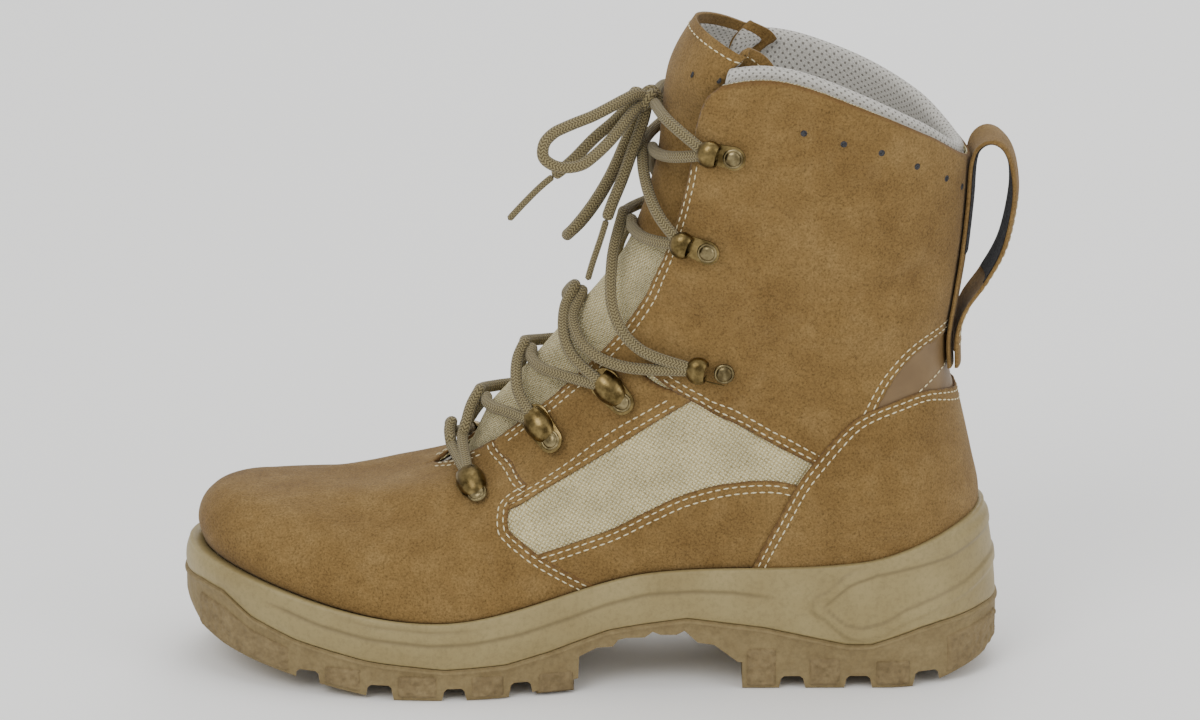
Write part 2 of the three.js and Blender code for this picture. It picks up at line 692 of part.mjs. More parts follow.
function hook(frame) {
  const rivet = upright(2.4, FITTING.rivet, FITTING.rivetHigh).translate(0, 0, FITTING.plateThick - 0.1);
  const stem = upright(2.4, 2.8, 4.2).translate(frame.reach - 0.6, 0, FITTING.plateThick - 0.1);
  const dome = upright(3, 5.2, 2.2).translate(frame.reach - 0.6, 0, 4.9);
  return joined([plate(frame.reach - 1.5), rivet, stem, dome]);
}

function laceLoop(frame) {
  const rivet = upright(2.4, FITTING.rivet, FITTING.rivetHigh).translate(0, 0, FITTING.plateThick - 0.1);
  const front = frame.reach;
  const bow = [-1, -0.85, 0, 0.85, 1].map((side, i) => (
    new THREE.Vector3(front - 1, side * 5.4, [0.5, 4.6, 6.2, 4.6, 0.5][i])
  ));
  const foot = new THREE.BoxGeometry(5, 13.4, FITTING.plateThick);
  foot.translate(front - 1, 0, FITTING.plateThick / 2);
  return joined([plate(front - 3.5), rivet, foot, tube(bow, FITTING.wire, 6, 4)]);
}

// ---- Lace ----
// Where the two strands between one row of fittings and the next cross on the tongue's front line,
// by section level. The first row is the bar between the lowest loops.
const CROSSINGS = [
  { from: 0, to: 0, level: 6.42 },
  { from: 0, to: 1, level: 6.85 },
  { from: 1, to: 2, level: 7.55 },
  { from: 2, to: 3, level: 8.35 },
  { from: 3, to: 4, level: 9.3 },
  { from: 4, to: 5, level: 10.15 },
];
const LACE_LIFT = { fitting: 4.4, middle: TONGUE.proud + LACE / 2 + 0.8 };

// Half of a strand: from a fitting, over the suede and the tongue, to the front line.
function laceHalf(row, outer, level) {
  const start = findPlace(...FITTINGS[row].top, outer);
  const front = outer ? 0 : 1;
  return [row === 0 ? 0.25 : 0.1, 0.45, 0.72, 1].map((share) => shoePoint(
    mix(start.turn, front, share) % 1,
    mix(start.level, level, share),
    mix(LACE_LIFT.fitting, LACE_LIFT.middle, ease(share)),
  ));
}

function laceCrossings() {
  const strand = ({ from, to, level }, outer) => {
    const first = laceHalf(from, outer, level);
    const second = laceHalf(to, !outer, level).reverse();
    return tube([...first, ...second.slice(1)], LACE / 2, 8, 7);
  };
  const pairs = CROSSINGS.slice(1).flatMap((row) => [strand(row, true), strand(row, false)]);
  return joined([strand(CROSSINGS[0], true), ...pairs]);
}

// The bow: its loops and ends leave the knot at the top of the tongue.
const KNOT = { at: [20.5, -5, 220.5], radius: 5, shape: [0.95, 1.25, 0.9] };
const BOW = [
  {
    name: "lace_bow_outer",
    steps: 18,
    line: [
      [16.5, -10.5, 223.5], [9, -17, 221.5], [0.9, -22, 218.5], [-7, -26, 216.3],
      [-14.2, -29, 213.5], [-18, -32, 209], [-17, -33, 204.5], [-12.3, -33, 202],
      [-4, -31, 201.9], [4.7, -25, 207.3], [10.5, -19, 212.5], [14.8, -13.5, 216.7],
    ],
  },
  {
    name: "lace_end_outer",
    steps: 14,
    line: [
      [14.6, -5.4, 217.9], [8, -11.5, 213], [1, -16, 208.1], [-7.7, -18, 199.5],
      [-18, -19, 191.1], [-25, -19, 184], [-31, -19, 177.3],
    ],
  },
  {
    name: "lace_bow_inner",
    steps: 20,
    line: [
      [18.5, 0, 213.9], [13, 1, 202.5], [8, 2, 190.5], [2, 2.5, 179.5],
      [-5, 3, 169.5], [-9, 5.5, 164.5], [-8.6, 9, 163.9], [-3, 11, 169],
      [3.5, 11, 178.5], [9, 10, 189.5], [13.5, 7.6, 201], [18.5, 4.8, 211.1],
    ],
  },
  {
    name: "lace_end_inner",
    steps: 12,
    line: [
      [19.5, -7, 213.1], [15.6, -10, 202.5], [11.5, -13, 191.5], [7, -15, 180.5],
      [3.5, -16.5, 169.5], [0.5, -17.5, 160.5], [-1.5, -18, 153.5],
    ],
  },
];

function knot() {
  const ball = toGeometry(toSolid(new THREE.SphereGeometry(KNOT.radius, 8, 6)));
  return ball.scale(...KNOT.shape).translate(...KNOT.at);
}

// ---- Assembly ----
const FINISHES = {
  rubber: { color: 0x8c7a5c, roughness: 0.85, metalness: 0 },
  foam: { color: 0x9e906c, roughness: 0.7, metalness: 0 },
  suede: { color: 0x96764a, roughness: 0.95, metalness: 0 },
  tongueCloth: { color: 0xd7cdaa, roughness: 0.9, metalness: 0 },
  lining: { color: 0xbcbab2, roughness: 0.9, metalness: 0 },
  blackFoam: { color: 0x232323, roughness: 0.9, metalness: 0 },
  brass: { color: 0x6e5f3c, roughness: 0.35, metalness: 1 },
  cord: { color: 0x8e8266, roughness: 0.9, metalness: 0 },
};

const group = new THREE.Group();

function addPiece(name, geometry, finish, matrix) {
  const mesh = new THREE.Mesh(geometry, new THREE.MeshStandardMaterial(FINISHES[finish]));
  mesh.name = name;
  if (matrix) {
    mesh.applyMatrix4(matrix);
  }
  group.add(mesh);
}

addPiece("outsole", outsole(), "rubber");
addPiece("midsole", midsole(), "foam");
addPiece("insole", insole(), "blackFoam");
addPiece("upper", upper(), "suede");
addPiece("tongue", tongue(), "tongueCloth");
addPiece("collar_padding", collarPadding(), "lining");
addPiece("heel_counter", heelCounter(), "suede");
addPiece("pull_loop", pullLoop(), "suede");

for (const side of ["outer", "inner"]) {
  for (const fitting of FITTINGS) {
    const frame = fittingFrame(fitting, side === "outer");
    const shape = fitting.name === "hook" ? hook(frame) : laceLoop(frame);
    addPiece(`${fitting.name}_${side}_${fitting.count}`, shape, "brass", frame.basis);
  }
}

addPiece("lace_crossings", laceCrossings(), "cord");
addPiece("lace_knot", knot(), "cord");
for (const { name, steps, line } of BOW) {
  addPiece(name, tube(line.map((p) => new THREE.Vector3(...p)), LACE / 2, 6, steps), "cord");
}

// The origin is under the middle of the boot, on the ground. The bow doesn't count in that middle.
const solidPart = new THREE.Box3();
const stiffPieces = group.children.filter(({ name }) => !name.startsWith("lace_"));
stiffPieces.forEach((mesh) => solidPart.expandByObject(mesh));
const middle = solidPart.getCenter(new THREE.Vector3());
group.position.set(-middle.x, -middle.y, 0);

export default group;
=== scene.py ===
"""A left combat boot with its lace tied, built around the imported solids.

The boot's toe points to -X and its outer side faces -Y. The shape functions work in the last's own
millimetres; to_frame() turns their points into the frame's metres.
"""

import math
import random

import bmesh
import bpy
import numpy as np
from mathutils import Matrix, Vector, noise


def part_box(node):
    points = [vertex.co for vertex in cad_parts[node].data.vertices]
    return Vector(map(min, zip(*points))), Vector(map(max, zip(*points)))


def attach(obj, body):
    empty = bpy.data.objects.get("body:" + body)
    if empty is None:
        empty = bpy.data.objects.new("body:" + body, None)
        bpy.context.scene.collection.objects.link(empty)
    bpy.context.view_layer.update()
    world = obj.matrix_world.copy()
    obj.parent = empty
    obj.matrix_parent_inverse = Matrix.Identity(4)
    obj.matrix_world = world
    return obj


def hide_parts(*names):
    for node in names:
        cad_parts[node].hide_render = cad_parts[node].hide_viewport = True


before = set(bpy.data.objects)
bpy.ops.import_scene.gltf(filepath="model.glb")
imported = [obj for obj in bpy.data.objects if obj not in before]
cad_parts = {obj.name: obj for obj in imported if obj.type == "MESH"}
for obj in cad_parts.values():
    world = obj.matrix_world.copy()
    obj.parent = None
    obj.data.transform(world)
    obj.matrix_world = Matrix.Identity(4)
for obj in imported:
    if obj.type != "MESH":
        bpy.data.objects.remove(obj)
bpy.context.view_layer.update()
random.seed(7)

MM = 0.001

# ---- Sizes in millimetres ----
WALL = 2.4  # upper with its lining
GAP = 0.3  # between the upper and the sole that holds it
RIM, TOE_BUMPER = 3.4, 2.6  # thickness of the sole's rim, and what the toe adds to it
LACE = 4.4  # lace diameter
PAD = 5.5  # thickness of the padded collar
STITCH_PITCH, STITCH_LENGTH, THREAD = 3.2, 2.5, 0.62
STITCH_TWIST = 0.06  # how far a stitch may lie askew, in radians
TURN_STEP = 0.002  # step along an outline from which its direction is taken
SIDES = ((-1, "outer"), (1, "inner"))
OUTSOLE_BACK, OUTSOLE_MIDDLE = 153.8, 0.4  # the outsole's back end and the middle of its width

outsole_low, outsole_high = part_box("outsole")
SHIFT = np.array([
    OUTSOLE_BACK - outsole_high.x / MM,
    OUTSOLE_MIDDLE - (outsole_low.y + outsole_high.y) / 2 / MM,
    0,
])


def to_frame(points):
    """Points in the last's millimetres as points in the frame, in metres."""
    return (np.asarray(points, float) - SHIFT) * MM


def from_frame(points):
    """Points in the frame as points in the last's millimetres."""
    return np.array(points) / MM + SHIFT


def add_object(name, data):
    made = bpy.data.objects.new(name, data)
    bpy.context.scene.collection.objects.link(made)
    return made


def mesh_from(bm, name):
    """A bmesh as a mesh. The bmesh is freed."""
    mesh = bpy.data.meshes.new(name)
    bm.to_mesh(mesh)
    bm.free()
    return mesh


# ---- The last ----
# Where heel, waist and ball lie along a section, as a share of the way from the back to the toe.
HEEL, WAIST, BALL = 0.15, 0.42, 0.7
COLUMNS = (
    "back_x toe_x z_back z_heel z_waist z_ball z_toe out_heel out_waist out_ball "
    "in_heel in_waist in_ball heel_round toe_round lean toe_in in_drop"
).split()
SECTIONS = [
    [139, -141, 42, 38, 31, 22, 31, 36.5, 35, 51, 36.5, 28, 48.5, 42, 78, 0, 6, 0],
    [145.5, -147.5, 63, 50, 45.5, 30, 46, 39, 38, 53.5, 39, 32, 50.5, 44, 80, 0, 6, 0],
    [142.5, -149.3, 82, 68, 60, 40, 54.5, 42, 38, 52, 42, 34, 49, 44, 78, 0, 6, 0],
    [137.5, -145.5, 104, 89, 74, 51, 62.5, 41, 36, 49, 41, 34, 46, 43, 80, 0, 6, 0],
    [134.8, -136, 116, 103, 85, 59, 67.3, 38.5, 34.5, 45, 38.5, 33.5, 42, 43, 90, 0.5, 5.5, 0],
    [134.3, -110, 130, 118, 98, 71, 68.6, 36.5, 34, 40, 36.5, 33.5, 38, 45, 120, 1, 4, 0],
    [136.8, -60, 146, 135, 116, 92, 75.8, 36.5, 34, 35, 36.5, 34, 34, 47, 100, 1.5, 2, 0],
    [138.6, -32, 158, 149, 135, 117, 103, 37, 35.5, 34, 37, 35.5, 33.5, 48, 88, 2, 0, 0],
    [139.8, -8, 168, 164, 156, 143, 131, 38, 37, 35, 38, 37, 35, 48, 66, 2.3, -1.5, 0.5],
    [140.6, 15, 177, 180, 181, 174, 161, 38.5, 38, 36.5, 38.5, 38, 36.5, 48, 32, 2.8, -3, 1.5],
    [141.3, 27, 187, 197, 206, 206, 195, 39, 38.7, 37.5, 39, 38.7, 37.5, 48, 22, 3.2, -4, 2],
    [141.8, 31.5, 198, 212, 227.5, 236.5, 232, 39, 39, 38, 39, 39, 38, 48, 20, 3.5, -4.5, 2.6],
    [142.8, 42, 214, 226, 240, 247, 252, 39, 39, 38, 39, 39, 38, 48, 22, 3.5, -4.5, 2.6],
]
SECTION = {name: np.array([row[i] for row in SECTIONS], float) for i, name in enumerate(COLUMNS)}
TOP_LEVEL = len(SECTIONS) - 1
RIM_LEVEL, THROAT_LEVEL, COLLAR_LEVEL = 1, 6, 11
CORNER_FROM, CORNER_TURN = 10.1, 0.035  # the collar's rounded front corners
# The throat opening: section level, and half its width.
THROAT = [(6, 0), (6.15, 8), (6.5, 14.5), (7, 19), (8, 24), (9, 27.5), (10, 29.5), (11, 31), (12, 31)]


def mix(a, b, share):
    return a + (b - a) * share


def ease(share):
    t = np.clip(share, 0, 1)
    return t * t * (3 - 2 * t)


def through(before, start, end, after, t):
    """The smooth curve from start to end that also suits the values before and after."""
    slope_start = (end - before) / 2
    slope_end = (after - start) / 2
    a = 2 * start - 2 * end + slope_start + slope_end
    b = -3 * start + 3 * end - 2 * slope_start - slope_end
    return ((a * t + b) * t + slope_start) * t + start


def line_at(points, x):
    """The second value at x of a line through pairs."""
    return np.interp(x, *np.array(points, float).T)


def section(name, level):
    """One measure of the last's sections at any level between them."""
    column = SECTION[name]
    i = np.clip(np.floor(level).astype(int), 0, TOP_LEVEL - 1)
    before, start, end, after = (column[np.clip(i + k, 0, TOP_LEVEL)] for k in (-1, 0, 1, 2))
    return through(before, start, end, after, level - i)


def width_at(share, heel, waist, ball):
    rear = mix(heel, waist, ease((share - HEEL) / (WAIST - HEEL)))
    front = mix(waist, ball, ease((share - WAIST) / (BALL - WAIST)))
    return np.where(share < WAIST, rear, front)


def rounding(distance, length):
    """0 at an end and 1 from length on, in a quarter circle."""
    left = 1 - np.clip(distance / length, 0, 1)
    return np.sqrt(np.maximum(1 - left * left, 0))


def height_at(share, heights):
    shares = [0, HEEL, WAIST, BALL, 1]

    def slope(k):
        low, high = max(k - 1, 0), min(k + 1, 4)
        return (heights[high] - heights[low]) / (shares[high] - shares[low])

    z = heights[0] * 1.0
    for i in range(4):
        span = shares[i + 1] - shares[i]
        before = heights[i + 1] - 2 * slope(i) * span
        after = heights[i] + 2 * slope(i + 1) * span
        stretch = through(before, heights[i], heights[i + 1], after, (share - shares[i]) / span)
        z = np.where(share >= shares[i], stretch, z)
    return z


def last_points(turn, level):
    """Points on the last. Turn runs from 0 at the front, by the outer side to 0.5 at the back seam."""
    turn, level = np.broadcast_arrays(np.mod(np.asarray(turn, float), 1), np.asarray(level, float))
    get = {name: section(name, level) for name in COLUMNS}
    share = (1 + np.cos(2 * math.pi * turn)) / 2
    length = get["back_x"] - get["toe_x"]
    outer = turn < 0.5
    widths = [np.where(outer, get["out_" + k], get["in_" + k]) for k in ("heel", "waist", "ball")]
    ends = rounding(share * length, get["heel_round"]) * rounding((1 - share) * length, get["toe_round"])
    half = width_at(share, *widths) * ends
    middle = get["lean"] * (1 - ease(share / 0.45)) + get["toe_in"] * ease((share - 0.55) / 0.45)
    heights = [get[k] for k in ("z_back", "z_heel", "z_waist", "z_ball", "z_toe")]
    z = height_at(share, heights) - np.where(outer, 0, get["in_drop"] * ends)
    y = middle + np.where(outer, -half, half)
    return np.stack([mix(get["back_x"], get["toe_x"], share), y, z], -1)


def last_normals(turn, level):
    turn, level = np.broadcast_arrays(np.asarray(turn, float), np.asarray(level, float))
    around = last_points(turn + TURN_STEP, level) - last_points(turn - TURN_STEP, level)
    above = last_points(turn, np.minimum(level + 0.03, TOP_LEVEL))
    below = last_points(turn, np.maximum(level - 0.03, 0))
    normal = np.cross(around, above - below)
    return normal / np.maximum(np.linalg.norm(normal, axis=-1, keepdims=True), 1e-9)


# Soft troughs (-) and ridges (+) from wear: ends as x and z, half width, and height. Side is -1 for
# the outer side, 1 for the inner and 0 for both.
CREASES = [
    {"from": (24, 148), "to": (66, 132), "half": 7, "high": -0.9, "side": 0},
    {"from": (26, 160), "to": (60, 150), "half": 6, "high": 0.6, "side": 0},
    {"from": (40, 182), "to": (96, 172), "half": 9, "high": -0.5, "side": -1},
    {"from": (84, 150), "to": (128, 160), "half": 8, "high": -0.8, "side": 0},
    {"from": (86, 137), "to": (124, 142), "half": 6, "high": 0.6, "side": 0},
    {"from": (-92, 64), "to": (-58, 58), "half": 7, "high": -0.7, "side": 0},
    {"from": (-84, 52), "to": (-52, 46), "half": 6, "high": 0.5, "side": 0},
    {"from": (-120, 66), "to": (-84, 72), "half": 8, "high": -0.6, "side": 0},
    {"from": (100, 92), "to": (132, 86), "half": 8, "high": -0.6, "side": 0},
    {"from": (96, 72), "to": (128, 66), "half": 8, "high": 0.5, "side": 0},
]


def creases(points):
    total = np.zeros(points.shape[:-1])
    x, y, z = points[..., 0], points[..., 1], points[..., 2]
    for crease in CREASES:
        (x0, z0), (x1, z1) = crease["from"], crease["to"]
        dx, dz = x1 - x0, z1 - z0
        along = np.clip(((x - x0) * dx + (z - z0) * dz) / (dx * dx + dz * dz), 0, 1)
        away = np.hypot(x - x0 - along * dx, z - z0 - along * dz) / crease["half"]
        side = 1 if crease["side"] == 0 else ease(crease["side"] * y / 12)
        total += crease["high"] * side * np.exp(-away * away * 1.6)
    return total


def shoe_points(turn, level, proud=0.0):
    """Points that stand proud of the last's face by that many millimetres, with its creases."""
    points = last_points(turn, level)
    return points + last_normals(turn, level) * (np.asarray(proud, float) + creases(points))[..., None]


def turn_at(share):
    """The turn on the outer side at a share of the way from the back to the toe."""
    return np.arccos(np.clip(2 * share - 1, -1, 1)) / (2 * math.pi)


def place_on(x, z, outer=True):
    """Turn and level of the points with this x and z on one side of the last."""
    x, z = np.broadcast_arrays(np.asarray(x, float), np.asarray(z, float))

    def turn_for(level):
        back_x = section("back_x", level)
        turn = turn_at((back_x - x) / (back_x - section("toe_x", level)))
        return turn if outer else 1 - turn

    low, high = np.zeros_like(x), np.full_like(x, TOP_LEVEL)
    for _ in range(22):
        middle = (low + high) / 2
        over = last_points(turn_for(middle), middle)[..., 2] > z
        low, high = np.where(over, low, middle), np.where(over, middle, high)
    return turn_for(low), low


def spot_on(point, outer):
    """Turn and level of one point, given as x and z."""
    return (float(v[0]) for v in place_on([point[0]], [point[1]], outer))


def throat_turn(level, outer=True):
    """The turn at the edge of the throat opening, as a distance from the front line."""
    level = np.atleast_1d(np.asarray(level, float))
    half = line_at(THROAT, level)
    low, high = np.zeros_like(level), np.full_like(level, 0.25)
    for _ in range(24):
        middle = (low + high) / 2
        y = last_points(middle if outer else 1 - middle, level)[..., 1]
        far = np.abs(y - section("toe_in", level)) > half
        low, high = np.where(far, low, middle), np.where(far, middle, high)
    up = np.clip((level - CORNER_FROM) / (COLLAR_LEVEL - CORNER_FROM), 0, 1)
    corner = CORNER_TURN * (1 - np.sqrt(1 - up ** 2))
    return np.where(level <= THROAT_LEVEL, 0, low + corner)


def smooth_line(points, count, closed=False):
    """Points evenly spaced on a smooth curve through the given ones."""
    points = np.asarray(points, float)
    if closed:
        ring = np.vstack([points[-1:], points, points[:2]])
    else:
        ring = np.vstack([2 * points[0] - points[1], points, 2 * points[-1] - points[-2]])
    share = np.linspace(0, 1, 12, endpoint=False)[:, None]
    parts = [through(*ring[i:i + 4], share) for i in range(len(ring) - 3)]
    dense = np.vstack(parts + [points[:1] if closed else points[-1:]])
    far = np.concatenate([[0], np.cumsum(np.linalg.norm(np.diff(dense, axis=0), axis=1))])
    wanted = np.linspace(0, far[-1], count + 1 if closed else count)
    even = np.stack([np.interp(wanted, far, dense[:, k]) for k in range(dense.shape[1])], -1)
    return even[:-1] if closed else even


def length_of(points):
    return float(np.linalg.norm(np.diff(np.asarray(points), axis=0), axis=1).sum())


# ---- Camera, floor and lights ----
VIEW_ELEVATION, VIEW_DISTANCE, VIEW_WIDTH, SENSOR = 17.5, 2.75, 0.4528, 0.036
VIEW_CENTRE = to_frame([3.2, 0, 116.7])


def place_camera():
    camera = add_object("camera", bpy.data.cameras.new("camera"))
    rise = math.radians(VIEW_ELEVATION)
    back = Vector((0, -math.cos(rise), math.sin(rise)))
    camera.location = Vector(VIEW_CENTRE) + back * VIEW_DISTANCE
    camera.rotation_euler = (-back).to_track_quat("-Z", "Y").to_euler()
    camera.data.sensor_width = SENSOR / MM
    camera.data.lens = SENSOR / MM * VIEW_DISTANCE / VIEW_WIDTH
    camera.data.clip_start, camera.data.clip_end = 0.1, 30
    bpy.context.scene.camera = camera


def area_light(name, place, size, power, warmth=(1, 1, 1)):
    light = bpy.data.lights.new(name, "AREA")
    light.shape, light.size, light.energy, light.color = "DISK", size, power, warmth
    holder = add_object(name, light)
    holder.location = place
    aim = Vector((0, 0, 0.1)) - Vector(place)
    holder.rotation_euler = aim.to_track_quat("-Z", "Y").to_euler()


place_camera()
area_light("key", (-0.9, -1.5, 1.6), 1.3, 19, (1, 0.985, 0.96))
area_light("fill", (1.5, -1.1, 0.9), 1.2, 8)
area_light("top", (0.1, 0.3, 1.9), 1.4, 8)
area_light("back", (0.3, 1.6, 1.1), 1.2, 8)
world = bpy.data.worlds.new("studio")
world.use_nodes = True
world.node_tree.nodes["Background"].inputs["Color"].default_value = (1, 1, 1, 1)
world.node_tree.nodes["Background"].inputs["Strength"].default_value = 0.85
bpy.context.scene.world = world


# ---- Materials ----
def colour(red, green, blue):
    """An sRGB colour of 0 to 255 as the linear colour that a shader takes."""
    shares = [value / 255 for value in (red, green, blue)]
    linear = [c / 12.92 if c <= 0.04045 else ((c + 0.055) / 1.055) ** 2.4 for c in shares]
    return (*linear, 1)


class Finish:
    """A material and the few kinds of node that finishes are made of."""

    def __init__(self, name, roughness, coords="Object", metallic=0.0, sheen=0.0, specular=0.5):
        self.material = bpy.data.materials.new(name)
        self.material.use_nodes = True
        self.tree = self.material.node_tree
        self.shader = self.tree.nodes["Principled BSDF"]
        self.shader.inputs["Roughness"].default_value = roughness
        self.shader.inputs["Metallic"].default_value = metallic
        self.shader.inputs["Sheen Weight"].default_value = sheen
        self.shader.inputs["Sheen Roughness"].default_value = 0.5
        self.shader.inputs["Specular IOR Level"].default_value = specular
        self.coords = self.node("ShaderNodeTexCoord").outputs[coords]

    def node(self, kind, **settings):
        made = self.tree.nodes.new(kind)
        for key, value in settings.items():
            setattr(made, key, value)
        return made

    def link(self, source, target):
        if isinstance(source, bpy.types.NodeSocket):
            self.tree.links.new(source, target)
        else:
            target.default_value = source

    def noise(self, scale, detail=2.0, rough=0.5, vector=None):
        made = self.node("ShaderNodeTexNoise")
        made.inputs["Scale"].default_value = scale
        made.inputs["Detail"].default_value = detail
        made.inputs["Roughness"].default_value = rough
        self.link(vector or self.coords, made.inputs["Vector"])
        return made.outputs["Fac"]

    def cells(self, scale, feature="F1", output="Distance", vector=None, randomness=1.0):
        made = self.node("ShaderNodeTexVoronoi", feature=feature)
        made.inputs["Scale"].default_value = scale
        made.inputs["Randomness"].default_value = randomness
        self.link(vector or self.coords, made.inputs["Vector"])
        return made.outputs[output]

    def waves(self, scale, direction, vector=None, distortion=0.0):
        made = self.node("ShaderNodeTexWave", bands_direction=direction)
        made.inputs["Scale"].default_value = scale
        made.inputs["Distortion"].default_value = distortion
        self.link(vector or self.coords, made.inputs["Vector"])
        return made.outputs["Fac"]

    def attribute(self, name):
        return self.node("ShaderNodeAttribute", attribute_name=name).outputs["Fac"]

    def math(self, operation, a, b=0.0, clamp=False):
        made = self.node("ShaderNodeMath", operation=operation, use_clamp=clamp)
        self.link(a, made.inputs[0])
        self.link(b, made.inputs[1])
        return made.outputs[0]

    def turned(self, angle, scale=(1, 1, 1)):
        made = self.node("ShaderNodeMapping")
        made.inputs["Rotation"].default_value = angle
        made.inputs["Scale"].default_value = scale
        self.link(self.coords, made.inputs["Vector"])
        return made.outputs["Vector"]

    def ramp(self, value, *stops):
        made = self.node("ShaderNodeValToRGB")
        elements = made.color_ramp.elements
        while len(elements) < len(stops):
            elements.new(0.5)
        for element, (place, shade) in zip(elements, stops):
            element.position, element.color = place, shade
        self.link(value, made.inputs["Fac"])
        return made.outputs["Color"]

    def blend(self, share, a, b, kind="MIX"):
        made = self.node("ShaderNodeMix", data_type="RGBA", blend_type=kind)
        self.link(share, made.inputs[0])
        self.link(a, made.inputs[6])
        self.link(b, made.inputs[7])
        return made.outputs[2]

    def finish(self, shade, *bumps):
        """Sets the colour, and bumps given as (height, strength, distance in metres)."""
        self.link(shade, self.shader.inputs["Base Color"])
        normal = None
        for height, strength, distance in bumps:
            made = self.node("ShaderNodeBump")
            made.inputs["Strength"].default_value = strength
            made.inputs["Distance"].default_value = distance
            self.link(height, made.inputs["Height"])
            if normal:
                self.link(normal, made.inputs["Normal"])
            normal = made.outputs["Normal"]
        if normal:
            self.link(normal, self.shader.inputs["Normal"])
        return self.material


def suede():
    """Sueded leather: mottled nap, brushed patches and dark raw edges."""
    made = Finish("suede", 0.95, sheen=0.1, specular=0.06)
    broad = made.noise(26, 3, 0.6)
    patches = made.noise(95, 4, 0.65)
    nap = made.noise(1250, 3, 0.75)
    base = made.ramp(broad, (0.3, colour(120, 93, 54)), (0.52, colour(139, 111, 67)), (0.74, colour(153, 125, 80)))
    brushed = made.ramp(patches, (0.3, colour(112, 86, 49)), (0.5, colour(138, 110, 66)), (0.72, colour(164, 136, 90)))
    shade = made.blend(0.3, base, brushed)
    fibres = made.ramp(nap, (0.3, colour(140, 138, 134)), (0.48, colour(214, 214, 214)), (0.68, colour(255, 255, 255)))
    shade = made.blend(0.8, shade, fibres, "MULTIPLY")
    rim = made.math("MULTIPLY", made.attribute("rim"), 0.8, clamp=True)
    shade = made.blend(rim, shade, colour(98, 70, 42))
    return made.finish(shade, (nap, 0.5, 0.0006), (patches, 0.35, 0.0012))


def woven_cloth():
    """Coarse cream cloth of two-tone yarns, woven on the slant."""
    made = Finish("woven cloth", 0.85, coords="UV", sheen=0.1, specular=0.2)
    grid = made.turned((0, 0, math.radians(32)))
    warp = made.waves(250, "X", grid)
    weft = made.waves(250, "Y", grid)
    over = made.math("MULTIPLY", warp, weft)
    yarn = made.math("ADD", over, made.math("MULTIPLY", made.noise(900, 2, 0.6), 0.35))
    shade = made.ramp(yarn, (0.08, colour(128, 110, 66)), (0.34, colour(228, 212, 158)), (0.62, colour(255, 247, 204)))
    worn = made.ramp(made.noise(60, 3), (0.35, colour(225, 225, 225)), (0.65, colour(255, 255, 255)))
    return made.finish(made.blend(1.0, shade, worn, "MULTIPLY"), (yarn, 1.0, 0.0008))


def lining_mesh():
    """Grey spacer mesh with rows of small dark holes."""
    made = Finish("lining mesh", 0.9, coords="UV", sheen=0.2, specular=0.2)
    grid = made.turned((0, 0, math.radians(45)))
    dots = made.cells(430, randomness=0.0, vector=grid)
    hole = made.math("LESS_THAN", dots, 0.22)
    fine = made.noise(1500, 2, 0.7)
    shade = made.ramp(fine, (0.3, colour(162, 159, 151)), (0.7, colour(206, 203, 196)))
    shade = made.blend(made.math("MULTIPLY", hole, 0.75), shade, colour(84, 80, 72))
    height = made.math("SUBTRACT", fine, made.math("MULTIPLY", hole, 2.0))
    return made.finish(shade, (height, 0.5, 0.0005))


def smooth_leather():
    made = Finish("smooth leather", 0.5, specular=0.4)
    grain = made.cells(1100, "DISTANCE_TO_EDGE")
    shade = made.ramp(made.noise(70, 3), (0.3, colour(100, 78, 48)), (0.7, colour(120, 96, 62)))
    shade = made.blend(made.math("MULTIPLY", made.attribute("rim"), 0.7), shade, colour(96, 68, 46))
    return made.finish(shade, (grain, 0.25, 0.0003), (made.noise(160, 4), 0.2, 0.001))


def sole_foam():
    """Cast foam of the midsole: satin, faint flow marks, painted shade in its grooves and along the sunk oval's edges.
    """
    made = Finish("sole foam", 0.5, specular=0.35)
    tone = made.noise(38, 3, 0.55)
    shade = made.ramp(tone, (0.3, colour(137, 121, 80)), (0.7, colour(152, 137, 95)))
    specks = made.ramp(made.noise(520, 4, 0.7), (0.3, colour(214, 214, 214)), (0.55, colour(255, 255, 255)))
    shade = made.blend(0.55, shade, specks, "MULTIPLY")
    # painted shade: darker where the side's grooves and the sunk oval's edges lie
    shade = made.blend(made.attribute("groove"), shade, colour(96, 82, 54))
    flow = made.noise(60, 5, 0.6, made.turned((0, 0, 0), (0.25, 1, 1)))
    return made.finish(shade, (flow, 0.16, 0.0012), (made.noise(900, 2), 0.1, 0.0003))


def sole_rubber(name, rough_scale, strength, light, dark):
    made = Finish(name, 0.72, specular=0.3)
    pebble = made.cells(rough_scale, "SMOOTH_F1")
    fine = made.noise(700, 3, 0.65)
    tone = made.blend(0.5, made.noise(45, 3), made.noise(260, 3))
    shade = made.ramp(tone, (0.35, dark), (0.65, light))
    specks = made.ramp(fine, (0.3, colour(205, 205, 205)), (0.6, colour(255, 255, 255)))
    shade = made.blend(0.5, shade, specks, "MULTIPLY")
    return made.finish(shade, (pebble, strength, 0.0015), (fine, 0.3, 0.0004))


def antique_brass(name, dark, light):
    """Brass in random darker and brighter patches."""
    made = Finish(name, 0.32, metallic=1.0)
    rubbed = made.noise(240, 4, 0.6)
    shade = made.ramp(rubbed, (0.35, dark), (0.68, light))
    return made.finish(shade, (made.noise(1400, 2), 0.12, 0.0002))


